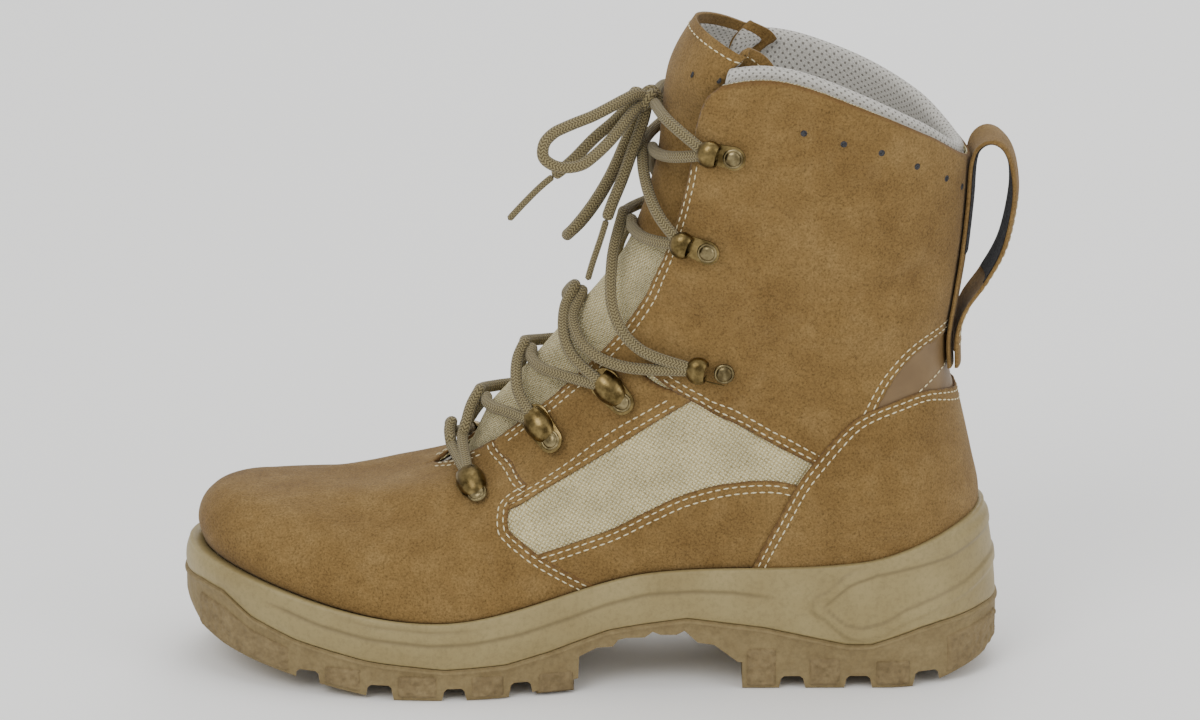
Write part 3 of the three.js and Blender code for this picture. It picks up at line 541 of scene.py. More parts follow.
def lace_cord():
    """A round braid: pairs of yarns that cross in small chevrons along the cord."""
    made = Finish("lace cord", 0.85, coords="UV", sheen=0.15, specular=0.2)
    split = made.node("ShaderNodeSeparateXYZ")
    made.link(made.coords, split.inputs[0])
    around, along = split.outputs[0], split.outputs[1]
    fold = made.math("PINGPONG", around, 1 / 12)
    slant = made.math("ADD", made.math("MULTIPLY", along, 2 * math.pi * 820), made.math("MULTIPLY", fold, 60))
    yarn = made.math("ADD", made.math("MULTIPLY", made.math("SINE", slant), 0.5), 0.5)
    seam = made.math("MULTIPLY", made.math("PINGPONG", around, 1 / 24), 24)
    parting = made.math("ADD", made.math("MULTIPLY", seam, 0.5), 0.5)
    height = made.math("MULTIPLY", made.math("POWER", yarn, 0.6), parting)
    shade = made.ramp(height, (0.05, colour(80, 70, 46)), (0.45, colour(134, 121, 86)), (0.95, colour(162, 149, 110)))
    worn = made.ramp(made.noise(300, 3), (0.35, colour(215, 215, 215)), (0.65, colour(255, 255, 255)))
    return made.finish(made.blend(1.0, shade, worn, "MULTIPLY"), (height, 0.8, 0.0005))


def stitch_thread():
    made = Finish("stitching", 0.75, specular=0.3)
    ply = made.waves(900, "DIAGONAL")
    shade = made.ramp(ply, (0.2, colour(192, 180, 142)), (0.8, colour(234, 223, 188)))
    return made.finish(shade, (ply, 0.4, 0.0002))


def black_cloth():
    made = Finish("black cloth", 0.9, specular=0.15)
    weave = made.cells(1300)
    shade = made.ramp(weave, (0.1, colour(34, 34, 36)), (0.7, colour(66, 66, 68)))
    return made.finish(shade, (weave, 0.6, 0.0005))


def studio_floor():
    made = Finish("studio floor", 0.8, specular=0.2)
    return made.finish(made.ramp(made.noise(3, 2), (0.3, colour(250, 250, 249)), (0.7, colour(252, 252, 251))))


SUEDE, CLOTH, LINING, LEATHER = suede(), woven_cloth(), lining_mesh(), smooth_leather()
FOAM = sole_foam()
RUBBER = sole_rubber("sole rubber", 300, 0.25, colour(136, 119, 83), colour(120, 103, 69))
LUG_RUBBER = sole_rubber("lug rubber", 340, 1.0, colour(136, 118, 83), colour(112, 95, 64))
BRASS = antique_brass("antique brass", colour(74, 61, 34), colour(140, 121, 78))
WORN_BRASS = antique_brass("rubbed brass", colour(84, 73, 48), colour(150, 136, 100))
CORD, THREAD_FINISH, BLACK = lace_cord(), stitch_thread(), black_cloth()


# ---- Making pieces ----
def bent_grid(columns, rows, surface, uv_size=(1.0, 1.0)):
    """A grid bent to a surface. surface(u, v) takes arrays from 0 to 1 and gives millimetres."""
    bm = bmesh.new()
    bmesh.ops.create_grid(bm, x_segments=columns, y_segments=rows, size=0.5)
    flat = np.array([v.co[:2] for v in bm.verts]) + 0.5
    uv = bm.loops.layers.uv.new("UVMap")
    for face in bm.faces:
        for loop in face.loops:
            u, v = flat[loop.vert.index]
            loop[uv].uv = (u * uv_size[0], v * uv_size[1])
    for vert, point in zip(bm.verts, to_frame(surface(flat[:, 0], flat[:, 1]))):
        vert.co = point
    bmesh.ops.remove_doubles(bm, verts=bm.verts, dist=1e-6)
    bmesh.ops.dissolve_degenerate(bm, dist=1e-7, edges=bm.edges)
    return bm


def make_piece(bm, name, material, replaces=(), flat_angle=None):
    """Makes a finished piece on the boot's one body. Faces that meet at over flat_angle stay sharp."""
    bmesh.ops.recalc_face_normals(bm, faces=bm.faces)
    mesh = mesh_from(bm, name)
    mesh.materials.append(material)
    mesh.polygons.foreach_set("use_smooth", [True] * len(mesh.polygons))
    if flat_angle:
        mesh.set_sharp_from_angle(angle=math.radians(flat_angle))
    piece = add_object(name, mesh)
    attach(piece, "root")
    if replaces:
        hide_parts(*replaces)
    return piece


def add_part(whole, part):
    """Adds one bmesh to another and frees it."""
    mesh = mesh_from(part, "part")
    whole.from_mesh(mesh)
    bpy.data.meshes.remove(mesh)


def all_of(bm):
    return bm.verts[:] + bm.edges[:] + bm.faces[:]


def new_verts(made):
    """The vertices among what an operator made."""
    return [v for v in made["geom"] if isinstance(v, bmesh.types.BMVert)]


def thicken(bm, thickness, turned=False):
    """Gives an open sheet its thickness, inwards. Turned sheets were made inside out."""
    if turned:
        bmesh.ops.reverse_faces(bm, faces=bm.faces[:])
    made = bmesh.ops.extrude_face_region(bm, geom=bm.faces[:], use_keep_orig=True)
    bm.normal_update()
    for vert in new_verts(made):
        vert.co -= vert.normal * thickness * MM


def along_path(points):
    """Unit tangents, and two unit directions across the path that don't twist."""
    tangents = np.gradient(points, axis=0)
    tangents /= np.linalg.norm(tangents, axis=1, keepdims=True)
    side = np.cross(tangents[0], [0, 0, 1.0])
    if np.linalg.norm(side) < 0.1:
        side = np.cross(tangents[0], [0, 1.0, 0])
    sides = []
    for tangent in tangents:
        side = side - tangent * np.dot(side, tangent)
        side /= np.linalg.norm(side)
        sides.append(side)
    sides = np.array(sides)
    return tangents, sides, np.cross(tangents, sides)


def cord_tube(line, radius=LACE / 2, pitch=0.9, sides=14):
    """A round cord along a line of points in millimetres, with rounded ends. Its UV is (turn, metres)."""
    length = length_of(smooth_line(line, 80))
    steps = max(int(length / pitch), 12)
    middle = smooth_line(line, steps + 1)
    _, across, up = along_path(middle)

    def surface(u, v):
        i = np.clip(np.rint(v * steps).astype(int), 0, steps)
        end = np.minimum(i, steps - i) * length / steps
        size = radius * np.sqrt(np.clip(1 - (1 - np.clip(end / radius, 0, 1)) ** 2, 0, 1))
        size = np.where((i == 0) | (i == steps), 0, np.maximum(size, radius * 0.3))
        angle = 2 * math.pi * u
        round_x, round_y = np.cos(angle) * size, np.sin(angle) * size
        return middle[i] + across[i] * round_x[:, None] + up[i] * round_y[:, None]

    return bent_grid(sides, steps, surface, (1.0, length * MM)), middle


# ---- Panels of the upper ----
TURN_CELL, LEVEL_CELL = 0.004, 0.1  # size of a panel's mesh cells on the pattern
PATTERN = (800, 16)  # millimetres of pattern for one turn and for one level
PATTERN_TURN, PATTERN_LEVEL = 0.8, 0.016  # the same in metres
CUT_EDGE = 0.0006  # width of a panel's dark cut edge, in metres
CLOSEST = 0.4  # points of an outline closer than this are one, in millimetres
# How far each layer's face stands proud of the last, and how far the rows sewn on it do.
PANEL_OVER, PANEL_UNDER, PANEL_HEEL, PANEL_PATCH = 0.25, -0.2, 1.1, -0.1
ROW_OVER, ROW_UNDER, ROW_HEEL, ROW_PATCH = 0.35, -0.1, 1.2, 0.05


def cut_panel(name, outline, proud, thickness, material, replaces=(), edge=0.5, count=150):
    """A panel cut to an outline of (turn, level) points and lasted onto the shoe."""
    bm = bmesh.new()
    pattern = smooth_corners(outline, count)
    ring = [bm.verts.new((turn * PATTERN_TURN, level * PATTERN_LEVEL, 0)) for turn, level in pattern]
    whole = bm.faces.new(ring)
    whole.normal_update()
    if whole.normal.z < 0:
        whole.normal_flip()
    bmesh.ops.inset_region(bm, faces=[whole], thickness=CUT_EDGE, use_even_offset=True)
    for axis, cell in ((0, TURN_CELL * PATTERN_TURN), (1, LEVEL_CELL * PATTERN_LEVEL)):
        spots = [v.co[axis] for v in bm.verts]
        direction = [(1, 0, 0), (0, 1, 0)][axis]
        for k in range(math.ceil(min(spots) / cell), math.floor(max(spots) / cell) + 1):
            at = [k * cell * d for d in direction]
            bmesh.ops.bisect_plane(bm, geom=all_of(bm), dist=1e-7, plane_co=at, plane_no=direction)
    rim = bm.verts.layers.float.new("rim")
    uv = bm.loops.layers.uv.new("UVMap")
    flat = np.array([v.co[:2] for v in bm.verts]) / (PATTERN_TURN, PATTERN_LEVEL)
    border = np.array([v.is_boundary for v in bm.verts])
    for vert, is_rim in zip(bm.verts, border):
        vert[rim] = 1.0 if is_rim else 0.0
    points = to_frame(shoe_points(flat[:, 0], flat[:, 1], proud - border * edge))
    for vert, point in zip(bm.verts, points):
        vert.co = point
    bm.verts.index_update()
    for face in bm.faces:
        for loop in face.loops:
            x, y, z = points[loop.vert.index]
            loop[uv].uv = (x, z)
    bmesh.ops.triangulate(bm, faces=[f for f in bm.faces if len(f.verts) > 4])
    thicken(bm, thickness)
    make_piece(bm, name, material, replaces)


def smooth_corners(outline, count):
    """Points along a closed outline of stretches, each smooth in itself and meeting at corners."""
    sizes = [length_of(np.asarray(stretch) * PATTERN) for stretch in outline]
    points = []
    for stretch, size in zip(outline, sizes):
        steps = max(int(count * size / sum(sizes)), 1)
        points.extend(smooth_line(stretch, steps + 1)[:-1])
    kept = [points[0]]
    for point in points[1:]:
        if np.linalg.norm((point - kept[-1]) * PATTERN) > CLOSEST:
            kept.append(point)
    if np.linalg.norm((kept[-1] - kept[0]) * PATTERN) < CLOSEST:
        kept.pop()
    return kept


def seam_on(points, outer=True):
    """(turn, level) of seam points given as x and z on one side. On the inner side turn is negative."""
    x, z = np.asarray(points, float).T
    turn, level = place_on(x, z, outer)
    return np.stack([turn if outer else turn - 1, level], -1)


BOTTOM = 0.9  # section level where the panels end, inside the sole's rim
# Seam lines and panel edges as x and z, seen from the side.
VAMP_REAR = [(-36, 89.8), (-30, 84.5), (-23.5, 78.5), (-25.5, 74.5), (-30, 72), (-31.3, 68.5), (-31.1, 64.5),
             (-25.5, 58.6), (-19.8, 54), (-9, 47), (0, 41.5), (3, 39.5)]
EYESTAY_LOW = [(-40, 67.5), (-31, 70.5), (-25, 73.3), (-9, 82.8), (6.2, 91.9), (21.3, 101.3), (33.4, 108.8), (42, 114)]
SHAFT_LOW = [(19.5, 123), (25.5, 118.5), (33, 113.5), (41, 109.2), (51.5, 103.6), (66.6, 96), (82.5, 88.6), (96, 83)]
QUARTER_TOP = [(-34, 48), (-25, 52), (-19.8, 54.1), (-7, 57.5), (7.7, 62.2), (21.3, 69), (34.5, 75.3), (50.4, 80),
               (66.2, 81.7), (77.2, 80.2), (88, 78)]
COUNTER_EDGE = [(59.6, 45.5), (62.5, 52), (67.5, 62.5), (75, 77), (84.5, 91), (95.5, 103), (103.5, 108),
                (114, 111), (125, 112.3)]
COUNTER_BACK = 107.6  # height of the counter's top edge at the back seam
SHAFT_REAR = [(103, 99), (106.5, 107.5), (113.5, 119), (122, 127), (131, 130.5)]
SHAFT_REAR_END = 130.5
LEATHER_LOW, LEATHER_HIGH = 98, 134
INNER_COLUMN = [(64, 97), (60, 112), (59, 130), (62, 152), (68, 172), (80, 187), (98, 192), (116, 185), (130, 176)]
INNER_COLUMN_END = 172


def level_at(turn, z):
    """The section level at which the last is z high at one turn."""
    low, high = 0.0, float(TOP_LEVEL)
    for _ in range(30):
        middle = (low + high) / 2
        over = last_points(turn, middle)[2] > z
        low, high = (low, middle) if over else (middle, high)
    return low


def throat_line(start, end, count, side):
    """The edge of the throat opening between two levels, as (turn, level) on one side."""
    levels = np.linspace(start, end, count)
    turns = throat_turn(levels, side < 0)
    return np.stack([turns if side < 0 else -turns, levels], -1)


def on_side(points, side):
    """Seam points on the outer side (-1) or the inner (1)."""
    return seam_on(points, side < 0)


def to_back(side, z):
    """The point of the back seam at a height, as (turn, level)."""
    return np.array([[0.5 * -side, level_at(0.5, z)]])


def flat_line(start, end):
    return np.linspace(start, end, 8)


def vamp():
    outer, inner = on_side(VAMP_REAR, -1), on_side(VAMP_REAR, 1)
    bottom_outer, bottom_inner = (outer[-1][0], BOTTOM), (inner[-1][0], BOTTOM)
    throat_outer, throat_inner = throat_line(6.0, outer[0][1], 12, -1), throat_line(6.0, inner[0][1], 12, 1)
    outline = [
        throat_inner[::-1], throat_outer,
        flat_line(throat_outer[-1], outer[1]), outer[1:3], outer[2:], flat_line(outer[-1], bottom_outer),
        flat_line(bottom_outer, bottom_inner), flat_line(bottom_inner, inner[-1]),
        inner[2:][::-1], inner[1:3][::-1], flat_line(inner[1], throat_inner[-1]),
    ]
    cut_panel("vamp", outline, PANEL_OVER, 1.3, SUEDE, replaces=["upper"], count=260)


def eyestay(name, side):
    low = on_side(EYESTAY_LOW, side)
    throat = throat_line(6.36, 8.0, 16, side)
    outline = [throat, flat_line(throat[-1], low[-1]), low[::-1], flat_line(low[0], throat[0])]
    cut_panel(name, outline, PANEL_UNDER, 1.0, SUEDE)


def quarter_strip(name, side):
    top = on_side(QUARTER_TOP, side)
    rear, front = (top[-1][0], BOTTOM), (top[0][0], BOTTOM)
    outline = [top, flat_line(top[-1], rear), flat_line(rear, front), flat_line(front, top[0])]
    cut_panel(name, outline, PANEL_UNDER, 1.0, SUEDE)


def collar_line(side):
    turns = np.linspace(float(throat_turn(COLLAR_LEVEL, side < 0)[0]), 0.5, 24)
    return np.stack([turns if side < 0 else -turns, np.full(24, COLLAR_LEVEL)], -1)


def shaft(name, side):
    """The suede of the shaft. On the inner side it is a column in front and a band under the collar."""
    low = on_side(SHAFT_LOW, side)
    throat = throat_line(7.15, COLLAR_LEVEL, 26, side)
    collar = collar_line(side)
    if side < 0:
        rear = np.vstack([on_side(SHAFT_REAR, side), to_back(side, SHAFT_REAR_END)])
        outline = [
            throat, collar, flat_line(collar[-1], rear[-1]), rear[::-1], flat_line(rear[0], low[-1]), low[::-1],
        ]
    else:
        rear = np.vstack([on_side(INNER_COLUMN, side), to_back(side, INNER_COLUMN_END)])
        front = low[:6]
        outline = [
            throat, collar, flat_line(collar[-1], rear[-1]), rear[::-1], flat_line(rear[0], front[-1]), front[::-1],
        ]
    outline.append(flat_line(outline[-1][-1], throat[0]))
    cut_panel(name, outline, PANEL_OVER, 1.35, SUEDE, count=240)


def around_back(edge_points, back_z):
    """A line from one side round the back seam to the other, with turn past 0.5 on the inner side."""
    outer = np.vstack([on_side(edge_points, -1), to_back(-1, back_z)])
    inner = on_side(edge_points, 1)[::-1] + (1, 0)
    return np.vstack([outer, inner])


def leather_patch():
    turns = np.linspace(0.385, 0.615, 24)
    low = np.stack([turns, [level_at(t, LEATHER_LOW) for t in turns]], -1)
    high = np.stack([turns, [level_at(t, LEATHER_HIGH - 5 * (abs(t - 0.5) * 10) ** 2) for t in turns]], -1)
    outline = [high, flat_line(high[-1], low[-1]), low[::-1], flat_line(low[0], high[0])]
    cut_panel("heel_patch", outline, PANEL_PATCH, 1.1, LEATHER)


def heel_counter():
    edge = around_back(COUNTER_EDGE, COUNTER_BACK)
    start, end = (edge[0][0], BOTTOM), (edge[-1][0], BOTTOM)
    outline = [edge, flat_line(edge[-1], end), flat_line(end, start), flat_line(start, edge[0])]
    cut_panel("heel_counter_suede", outline, PANEL_HEEL, 1.5, SUEDE, replaces=["heel_counter"], count=240)


# ---- The cloth layer and the lining ----
def shell(name, material, outside, thickness, start):
    """A full wall round the boot from a section level up to the collar, open at the throat."""
    def surface(u, v):
        level = mix(start, COLLAR_LEVEL, v)
        outer = throat_turn(level, True)
        inner = 1 - throat_turn(level, False)
        turn = np.where(u < 0.5, mix(outer, 0.5, u * 2), mix(0.5, inner, u * 2 - 1))
        return shoe_points(turn, level, outside)

    bm = bent_grid(200, 90, surface, (0.66, 0.26))
    thicken(bm, thickness)
    return make_piece(bm, name, material)


def mesh_uv_by_side(piece):
    """Lays a fabric's pattern flat on the boot's sides: its UV is the place seen from the side."""
    mesh = piece.data
    uv = mesh.uv_layers[0].data
    for loop in mesh.loops:
        x, _, z = mesh.vertices[loop.vertex_index].co
        uv[loop.index].uv = (x, z)


# ---- Tongue ----
TONGUE_FROM, TONGUE_TO, TONGUE_CORNER = 5.7, 11.85, 0.75  # section levels, and the drop of its corners
TONGUE_EDGE = 0.6  # share of its half width that shows in the opening
TONGUE_WING, TONGUE_TOP_WING = 0.045, 0.2  # turn under the eyestays, and at the top
TONGUE_PROUD, TONGUE_FREE = 3, -9.4  # how far its middle and its free wings stand off the last
AIR_HOLE_SHARES, AIR_HOLE_LEVEL = (-0.5, -0.3, 0.3, 0.5), 11.12


def tongue_points(share, level, depth):
    """Points on the tongue: share from -1 to 1 across it, and depth below its outer face."""
    side = np.abs(share)
    outer = share < 0
    past = np.maximum(level, 6.02)
    opening = np.where(outer, throat_turn(past, True), throat_turn(past, False))
    wing = mix(opening + TONGUE_WING, TONGUE_TOP_WING, ease((level - 10) / 1.5))
    edge = mix(opening * 0.9, wing * 0.62, ease(level - 10.2))
    beyond = (side - TONGUE_EDGE) / (1 - TONGUE_EDGE)
    turn = np.where(beyond < 0, side / TONGUE_EDGE * edge, mix(edge, wing, beyond))
    hidden = -(WALL + 1.0) - ease((level - 9) / 0.7) * (PAD + 1.1)
    crown = mix(hidden, TONGUE_PROUD, ease((level - 6.1) / 0.8))
    free = ease((level - COLLAR_LEVEL - 0.4) / 0.6)
    fold = mix(TONGUE_EDGE, 0.85, ease(level - 10.4))
    offset = mix(crown, mix(hidden, TONGUE_FREE, free), ease(side / fold))
    turn = np.where(outer, turn, -turn)
    return last_points(turn, level) + last_normals(turn, level) * (offset - depth)[:, None]


def tongue_top(share):
    return TONGUE_TO - TONGUE_CORNER * np.abs(share) ** 3.4


def tongue_seam():
    """One row round the top of the tongue's suede, and two air holes on each side of it, each a dark disc of painted
    shade.
    """
    share = np.linspace(-0.93, 0.93, 120)
    level = tongue_top(share) - 0.2
    points = tongue_points(share, level, -0.3)
    bm = bmesh.new()
    stitches_along(bm, points, points - tongue_points(share, level, 0.7))
    make_piece(bm, "tongue_stitches", THREAD_FINISH)
    bm = bmesh.new()
    for share in AIR_HOLE_SHARES:
        spot = [tongue_points(np.array([share]), np.array([AIR_HOLE_LEVEL]), depth)[0] for depth in (-0.3, 0.7)]
        shade_disc(bm, spot[0], Vector(spot[0] - spot[1]))
    make_piece(bm, "tongue_air_holes", BLACK)


def tongue_sheet(name, material, start, end, depth, thickness, inset=0.0, replaces=()):
    """One layer of the tongue between two section levels, with rounded top corners."""
    def surface(u, v):
        share = (2 * u - 1) * (1 - inset)
        top = tongue_top(share) - inset * 2.4
        level = mix(start, np.where(end > 11, top, end), v)
        return tongue_points(share, level, depth)

    bm = bent_grid(64, 110, surface, (0.11, 0.0275 * (end - start)))
    thicken(bm, thickness, turned=True)
    return make_piece(bm, name, material, replaces)


# ---- Padded collar ----
# The roll's section: section level, depth inside the upper's face, and rise above that level.
COLLAR_ROLL = [
    (9.55, 3.0, 0), (9.75, 3.1, 0), (10.4, 3.1, 0), (10.9, 3.0, 0), (11, 2.6, 0.8), (11, 2.4, 2.3), (11, 3.3, 3.8),
    (11, 4.9, 4.2), (11, 6.7, 3.5), (11, 7.9, 1.7), (10.85, 8.2, 0), (10.5, 7.9, 0), (10.1, 6.9, 0), (9.8, 5.4, 0),
    (9.6, 3.8, 0),
]
ROLL_MIDDLE, ROLL_STEPS = np.array([10.4, 5.2, 1.0]), 40


def collar_roll():
    start = float(throat_turn(COLLAR_LEVEL, True)[0]) + 0.004
    end = 1 - float(throat_turn(COLLAR_LEVEL, False)[0]) - 0.004
    profile = smooth_line(np.array(COLLAR_ROLL) * (20, 1, 1), ROLL_STEPS, closed=True) / (20, 1, 1)
    profile = np.vstack([profile, profile[:1]])

    def surface(u, v):
        row = profile[np.clip(np.rint(v * ROLL_STEPS).astype(int), 0, ROLL_STEPS)]
        turn = mix(start, end, u)
        ends = np.clip(np.minimum(u, 1 - u) * 60, 0, 1)
        row = ROLL_MIDDLE + (row - ROLL_MIDDLE) * np.sqrt(1 - (1 - ends) ** 2)[:, None]
        points = shoe_points(turn, row[:, 0], -row[:, 1])
        points[:, 2] += row[:, 2]
        return points

    roll = bent_grid(260, ROLL_STEPS, surface, (0.28, 0.085))
    piece = make_piece(roll, "collar_padding_mesh", LINING, replaces=["collar_padding"])


# ---- Insole ----
# From the footbed's edge to its middle line: place inside the last's face, and lift off its bottom.
FOOTBED_ROWS = np.array([(-WALL - 1.0, 0.6), (-WALL - 0.6, 1.6), (-WALL - 0.7, 3.2), (-WALL - 1.8, 4.1),
                         (-WALL - 6, 4.3), (-60, 4.0)])
FOOTBED_IN = -8  # as far in as the edge's own rows go


def footbed():
    def surface(u, v):
        last_row = len(FOOTBED_ROWS) - 1
        at = v * last_row
        proud, lift = (np.interp(at, range(last_row + 1), column) for column in FOOTBED_ROWS.T)
        edge = shoe_points(u, 0, np.maximum(proud, FOOTBED_IN))
        level_z = last_points(u, 0)[:, 2]
        inward = np.clip(at - (last_row - 1), 0, 1)
        edge[:, 1] = mix(edge[:, 1], section("toe_in", np.zeros(1))[0] * ease(-edge[:, 0] / 90), inward)
        edge[:, 2] = level_z + lift
        return edge

    make_piece(bent_grid(160, 30, surface, (0.7, 0.1)), "footbed", BLACK, replaces=["insole"])


# ---- Stitches ----
def moved_across(path, distance):
    """A (turn, level) path moved sideways on the last by that many millimetres."""
    turn, level = path.T
    by_turn = (last_points(turn + 0.001, level) - last_points(turn - 0.001, level)) / 0.002
    by_level = (last_points(turn, level + 0.02) - last_points(turn, level - 0.02)) / 0.04
    tangent = np.gradient(last_points(turn, level), axis=0)
    across = np.cross(last_normals(turn, level), tangent)
    target = across / np.linalg.norm(across, axis=1, keepdims=True) * distance
    a, b, c = (by_turn ** 2).sum(1), (by_turn * by_level).sum(1), (by_level ** 2).sum(1)
    d, e = (by_turn * target).sum(1), (by_level * target).sum(1)
    scale = a * c - b * b
    return path + np.stack([(d * c - e * b) / scale, (a * e - b * d) / scale], -1)


def stitches_along(whole, points, normals):
    """Sews one row: a small rounded stitch at every pitch along points in millimetres."""
    bm = bmesh.new()
    far = np.concatenate([[0], np.cumsum(np.linalg.norm(np.diff(points, axis=0), axis=1))])
    tangents = np.gradient(points, axis=0)
    for at in np.arange(STITCH_PITCH / 2, far[-1] - STITCH_PITCH / 2, STITCH_PITCH):
        place, tangent, normal = (
            Vector([np.interp(at, far, values[:, k]) for k in range(3)]) for values in (points, tangents, normals)
        )
        tangent.normalize()
        side = normal.cross(tangent).normalized()
        normal = tangent.cross(side)
        turn = Matrix((tangent, side, normal)).transposed().to_4x4()
        twist = Matrix.Rotation(random.uniform(-STITCH_TWIST, STITCH_TWIST), 4, "Z")
        size = Matrix.Diagonal((STITCH_LENGTH / 2 * MM, THREAD / 2 * MM, THREAD / 2 * 0.75 * MM, 1))
        matrix = Matrix.Translation(to_frame(place)) @ turn @ twist @ size
        bmesh.ops.create_uvsphere(bm, u_segments=7, v_segments=4, radius=1, matrix=matrix)
    add_part(whole, bm)


def sew(name, seams):
    """Stitches for (path, distances from it, proud) rows as one piece."""
    bm = bmesh.new()
    for path, distances, proud in seams:
        line = smooth_line(np.asarray(path) * PATTERN, 90) / PATTERN
        for distance in distances:
            turn, level = moved_across(line, distance).T
            stitches_along(bm, shoe_points(turn, level, proud), last_normals(turn, level))
    make_piece(bm, name, THREAD_FINISH)


DOUBLE = (1.7, 4.1)  # a double row's distances from the edge


def seams_of_side(side):
    """The seams that both sides share. Distances are towards the panel that is sewn down."""
    sign = -side
    double = [sign * d for d in DOUBLE]
    back = [-d for d in double]
    vamp_edge = on_side(VAMP_REAR, side)
    low = on_side(EYESTAY_LOW, side)
    shaft_low = on_side(SHAFT_LOW, side)
    shaft_low = shaft_low[1:] if side < 0 else shaft_low[1:6]
    quarter = on_side(QUARTER_TOP, side)
    return [
        (vamp_edge[:3], back, ROW_OVER),
        (vamp_edge[3:], back, ROW_OVER),
        (throat_line(6.06, 6.38, 8, side), back, ROW_OVER),
        (throat_line(6.55, 7.45, 16, side), back, ROW_UNDER),
        (low[1:7], double, ROW_UNDER),
        (shaft_low, double, ROW_OVER),
        (throat_line(7.5, 10.2, 24, side), back, ROW_OVER),
        (quarter[2:-1], back, ROW_UNDER),
    ]


def upper_seams():
    seams = seams_of_side(-1) + seams_of_side(1)
    back = [-d for d in DOUBLE]
    seams.append((around_back(COUNTER_EDGE, COUNTER_BACK), back, ROW_HEEL))
    rear = np.vstack([on_side(SHAFT_REAR, -1), to_back(-1, SHAFT_REAR_END)])
    seams.append((rear, DOUBLE, ROW_OVER))
    column = np.vstack([on_side(INNER_COLUMN, 1), to_back(1, INNER_COLUMN_END)])
    seams.append((column, back, ROW_OVER))
    arc = np.linspace(0.425, 0.575, 16)
    arc_level = [level_at(t, 119.5 - 9 * (abs(t - 0.5) * 13) ** 2) for t in arc]
    seams.append((np.stack([arc, arc_level], -1), [0], ROW_PATCH))
    sew("upper_stitches", seams)


# ---- Backstay strap and pull loop ----
STRAP_LINE = [
    (136.4, 117), (136, 129), (138.5, 146), (140.6, 160), (142.6, 180), (143.6, 195), (146, 201.6), (150.8, 204),
    (155.8, 201), (158.6, 193), (159.2, 181), (155.6, 163), (149, 150), (141.8, 139.4), (138.6, 129.6), (138.5, 117.2),
]
STRAP_WIDTH, STRAP_BEND, STRAP_LEAN = 25, 84, (0.6, 3.6)


def strap_points(line, share, side, offset):
    """Points on the strap: share along its line, side from -1 to 1 across it, offset off its middle."""
    steps = len(line) - 1
    spot = share * steps
    at = np.stack([np.interp(spot, range(steps + 1), line[:, k]) for k in range(2)], -1)
    slope = np.gradient(line, axis=0)
    tangent = np.stack([np.interp(spot, range(steps + 1), slope[:, k]) for k in range(2)], -1)
    tangent /= np.linalg.norm(tangent, axis=1, keepdims=True)
    y = side * STRAP_WIDTH / 2
    x = at[:, 0] + tangent[:, 1] * offset - y * y / STRAP_BEND
    z = at[:, 1] - tangent[:, 0] * offset
    lean = mix(*STRAP_LEAN, np.clip((z - 117) / 81, 0, 1))
    return np.stack([x, y + lean, z], -1)


def strap_layer(name, line, near, far, width_share, material, replaces=()):
    """A flat strip with rounded edges that follows the strap's line between two offsets."""
    middle, half = (near + far) / 2, abs(far - near) / 2
    corner = 0.96 * width_share
    around = [(-corner, -half), (0, -half), (corner, -half), (width_share, 0),
              (corner, half), (0, half), (-corner, half), (-width_share, 0)]
    profile = np.array(around + around[:1])

    def surface(u, v):
        at = v * (len(profile) - 1)
        side = np.interp(at, range(len(profile)), profile[:, 0])
        offset = middle + np.interp(at, range(len(profile)), profile[:, 1])
        return strap_points(line, u, side, offset)

    bm = bent_grid(150, 32, surface, (0.2, 0.055))
    bmesh.ops.holes_fill(bm, edges=[e for e in bm.edges if e.is_boundary], sides=0)
    make_piece(bm, name, material, replaces, flat_angle=50)


STRAP_FACE = -1.05  # just off the strap's suede
# Shares along the strap's line: the long rows from and to, the row across their foot, and the sewn
# box's top and foot. Then shares of half the strap's width: the long rows, that row, and the box.
LONG_FROM, LONG_TO, ROW_FOOT, BOX_TOP, BOX_FOOT = 0.62, 0.845, 0.852, 0.885, 0.955
LONG_SIDE, FOOT_SIDE, BOX_SIDE = 0.59, 0.6, 0.86


def strap_seams(line):
    """Two long rows down the strap's outer face, a row across their foot, and the sewn box below."""
    bm = bmesh.new()

    def row(share, side):
        share, side = np.broadcast_arrays(share, side)
        points = strap_points(line, share, side, STRAP_FACE)
        stitches_along(bm, points, strap_points(line, share, side, STRAP_FACE - 1) - points)

    for side in (-LONG_SIDE, LONG_SIDE):
        row(np.linspace(LONG_FROM, LONG_TO, 60), side)
    row(ROW_FOOT, np.linspace(-FOOT_SIDE, FOOT_SIDE, 24))
    for share in (BOX_TOP, BOX_FOOT):
        row(share, np.linspace(-BOX_SIDE, BOX_SIDE, 30))
    for side in (-BOX_SIDE, BOX_SIDE):
        row(np.linspace(BOX_TOP, BOX_FOOT, 16), side)
    make_piece(bm, "strap_stitches", THREAD_FINISH)


def pull_loop():
    line = smooth_line(STRAP_LINE, 160)
    strap_layer("pull_loop_suede", line, -0.95, 0.35, 1.0, SUEDE, replaces=["pull_loop"])
    strap_layer("pull_loop_lining", line[38:130], 0.35, 0.95, 0.9, BLACK)
    strap_seams(line)


# ---- Perforations, drawn as discs of painted shade ----
HOLE_RADIUS = 1.25
AIR_HOLES = [(78.3, 216.3), (93, 212.3), (107, 208.3), (120.4, 201.3), (131.8, 193.9), (138, 188)]


def shade_disc(bm, place, normal):
    """A small dark disc with a soft rim: the painted shade of a punched hole."""
    spin = normal.to_track_quat("Z", "Y").to_matrix().to_4x4()
    made = bmesh.ops.create_circle(bm, cap_ends=True, radius=HOLE_RADIUS * MM, segments=16,
                                   matrix=Matrix.Translation(to_frame(place)) @ spin)
    face = made["verts"][0].link_faces[0]
    bmesh.ops.inset_individual(bm, faces=[face], thickness=0.2 * MM, depth=0.12 * MM)


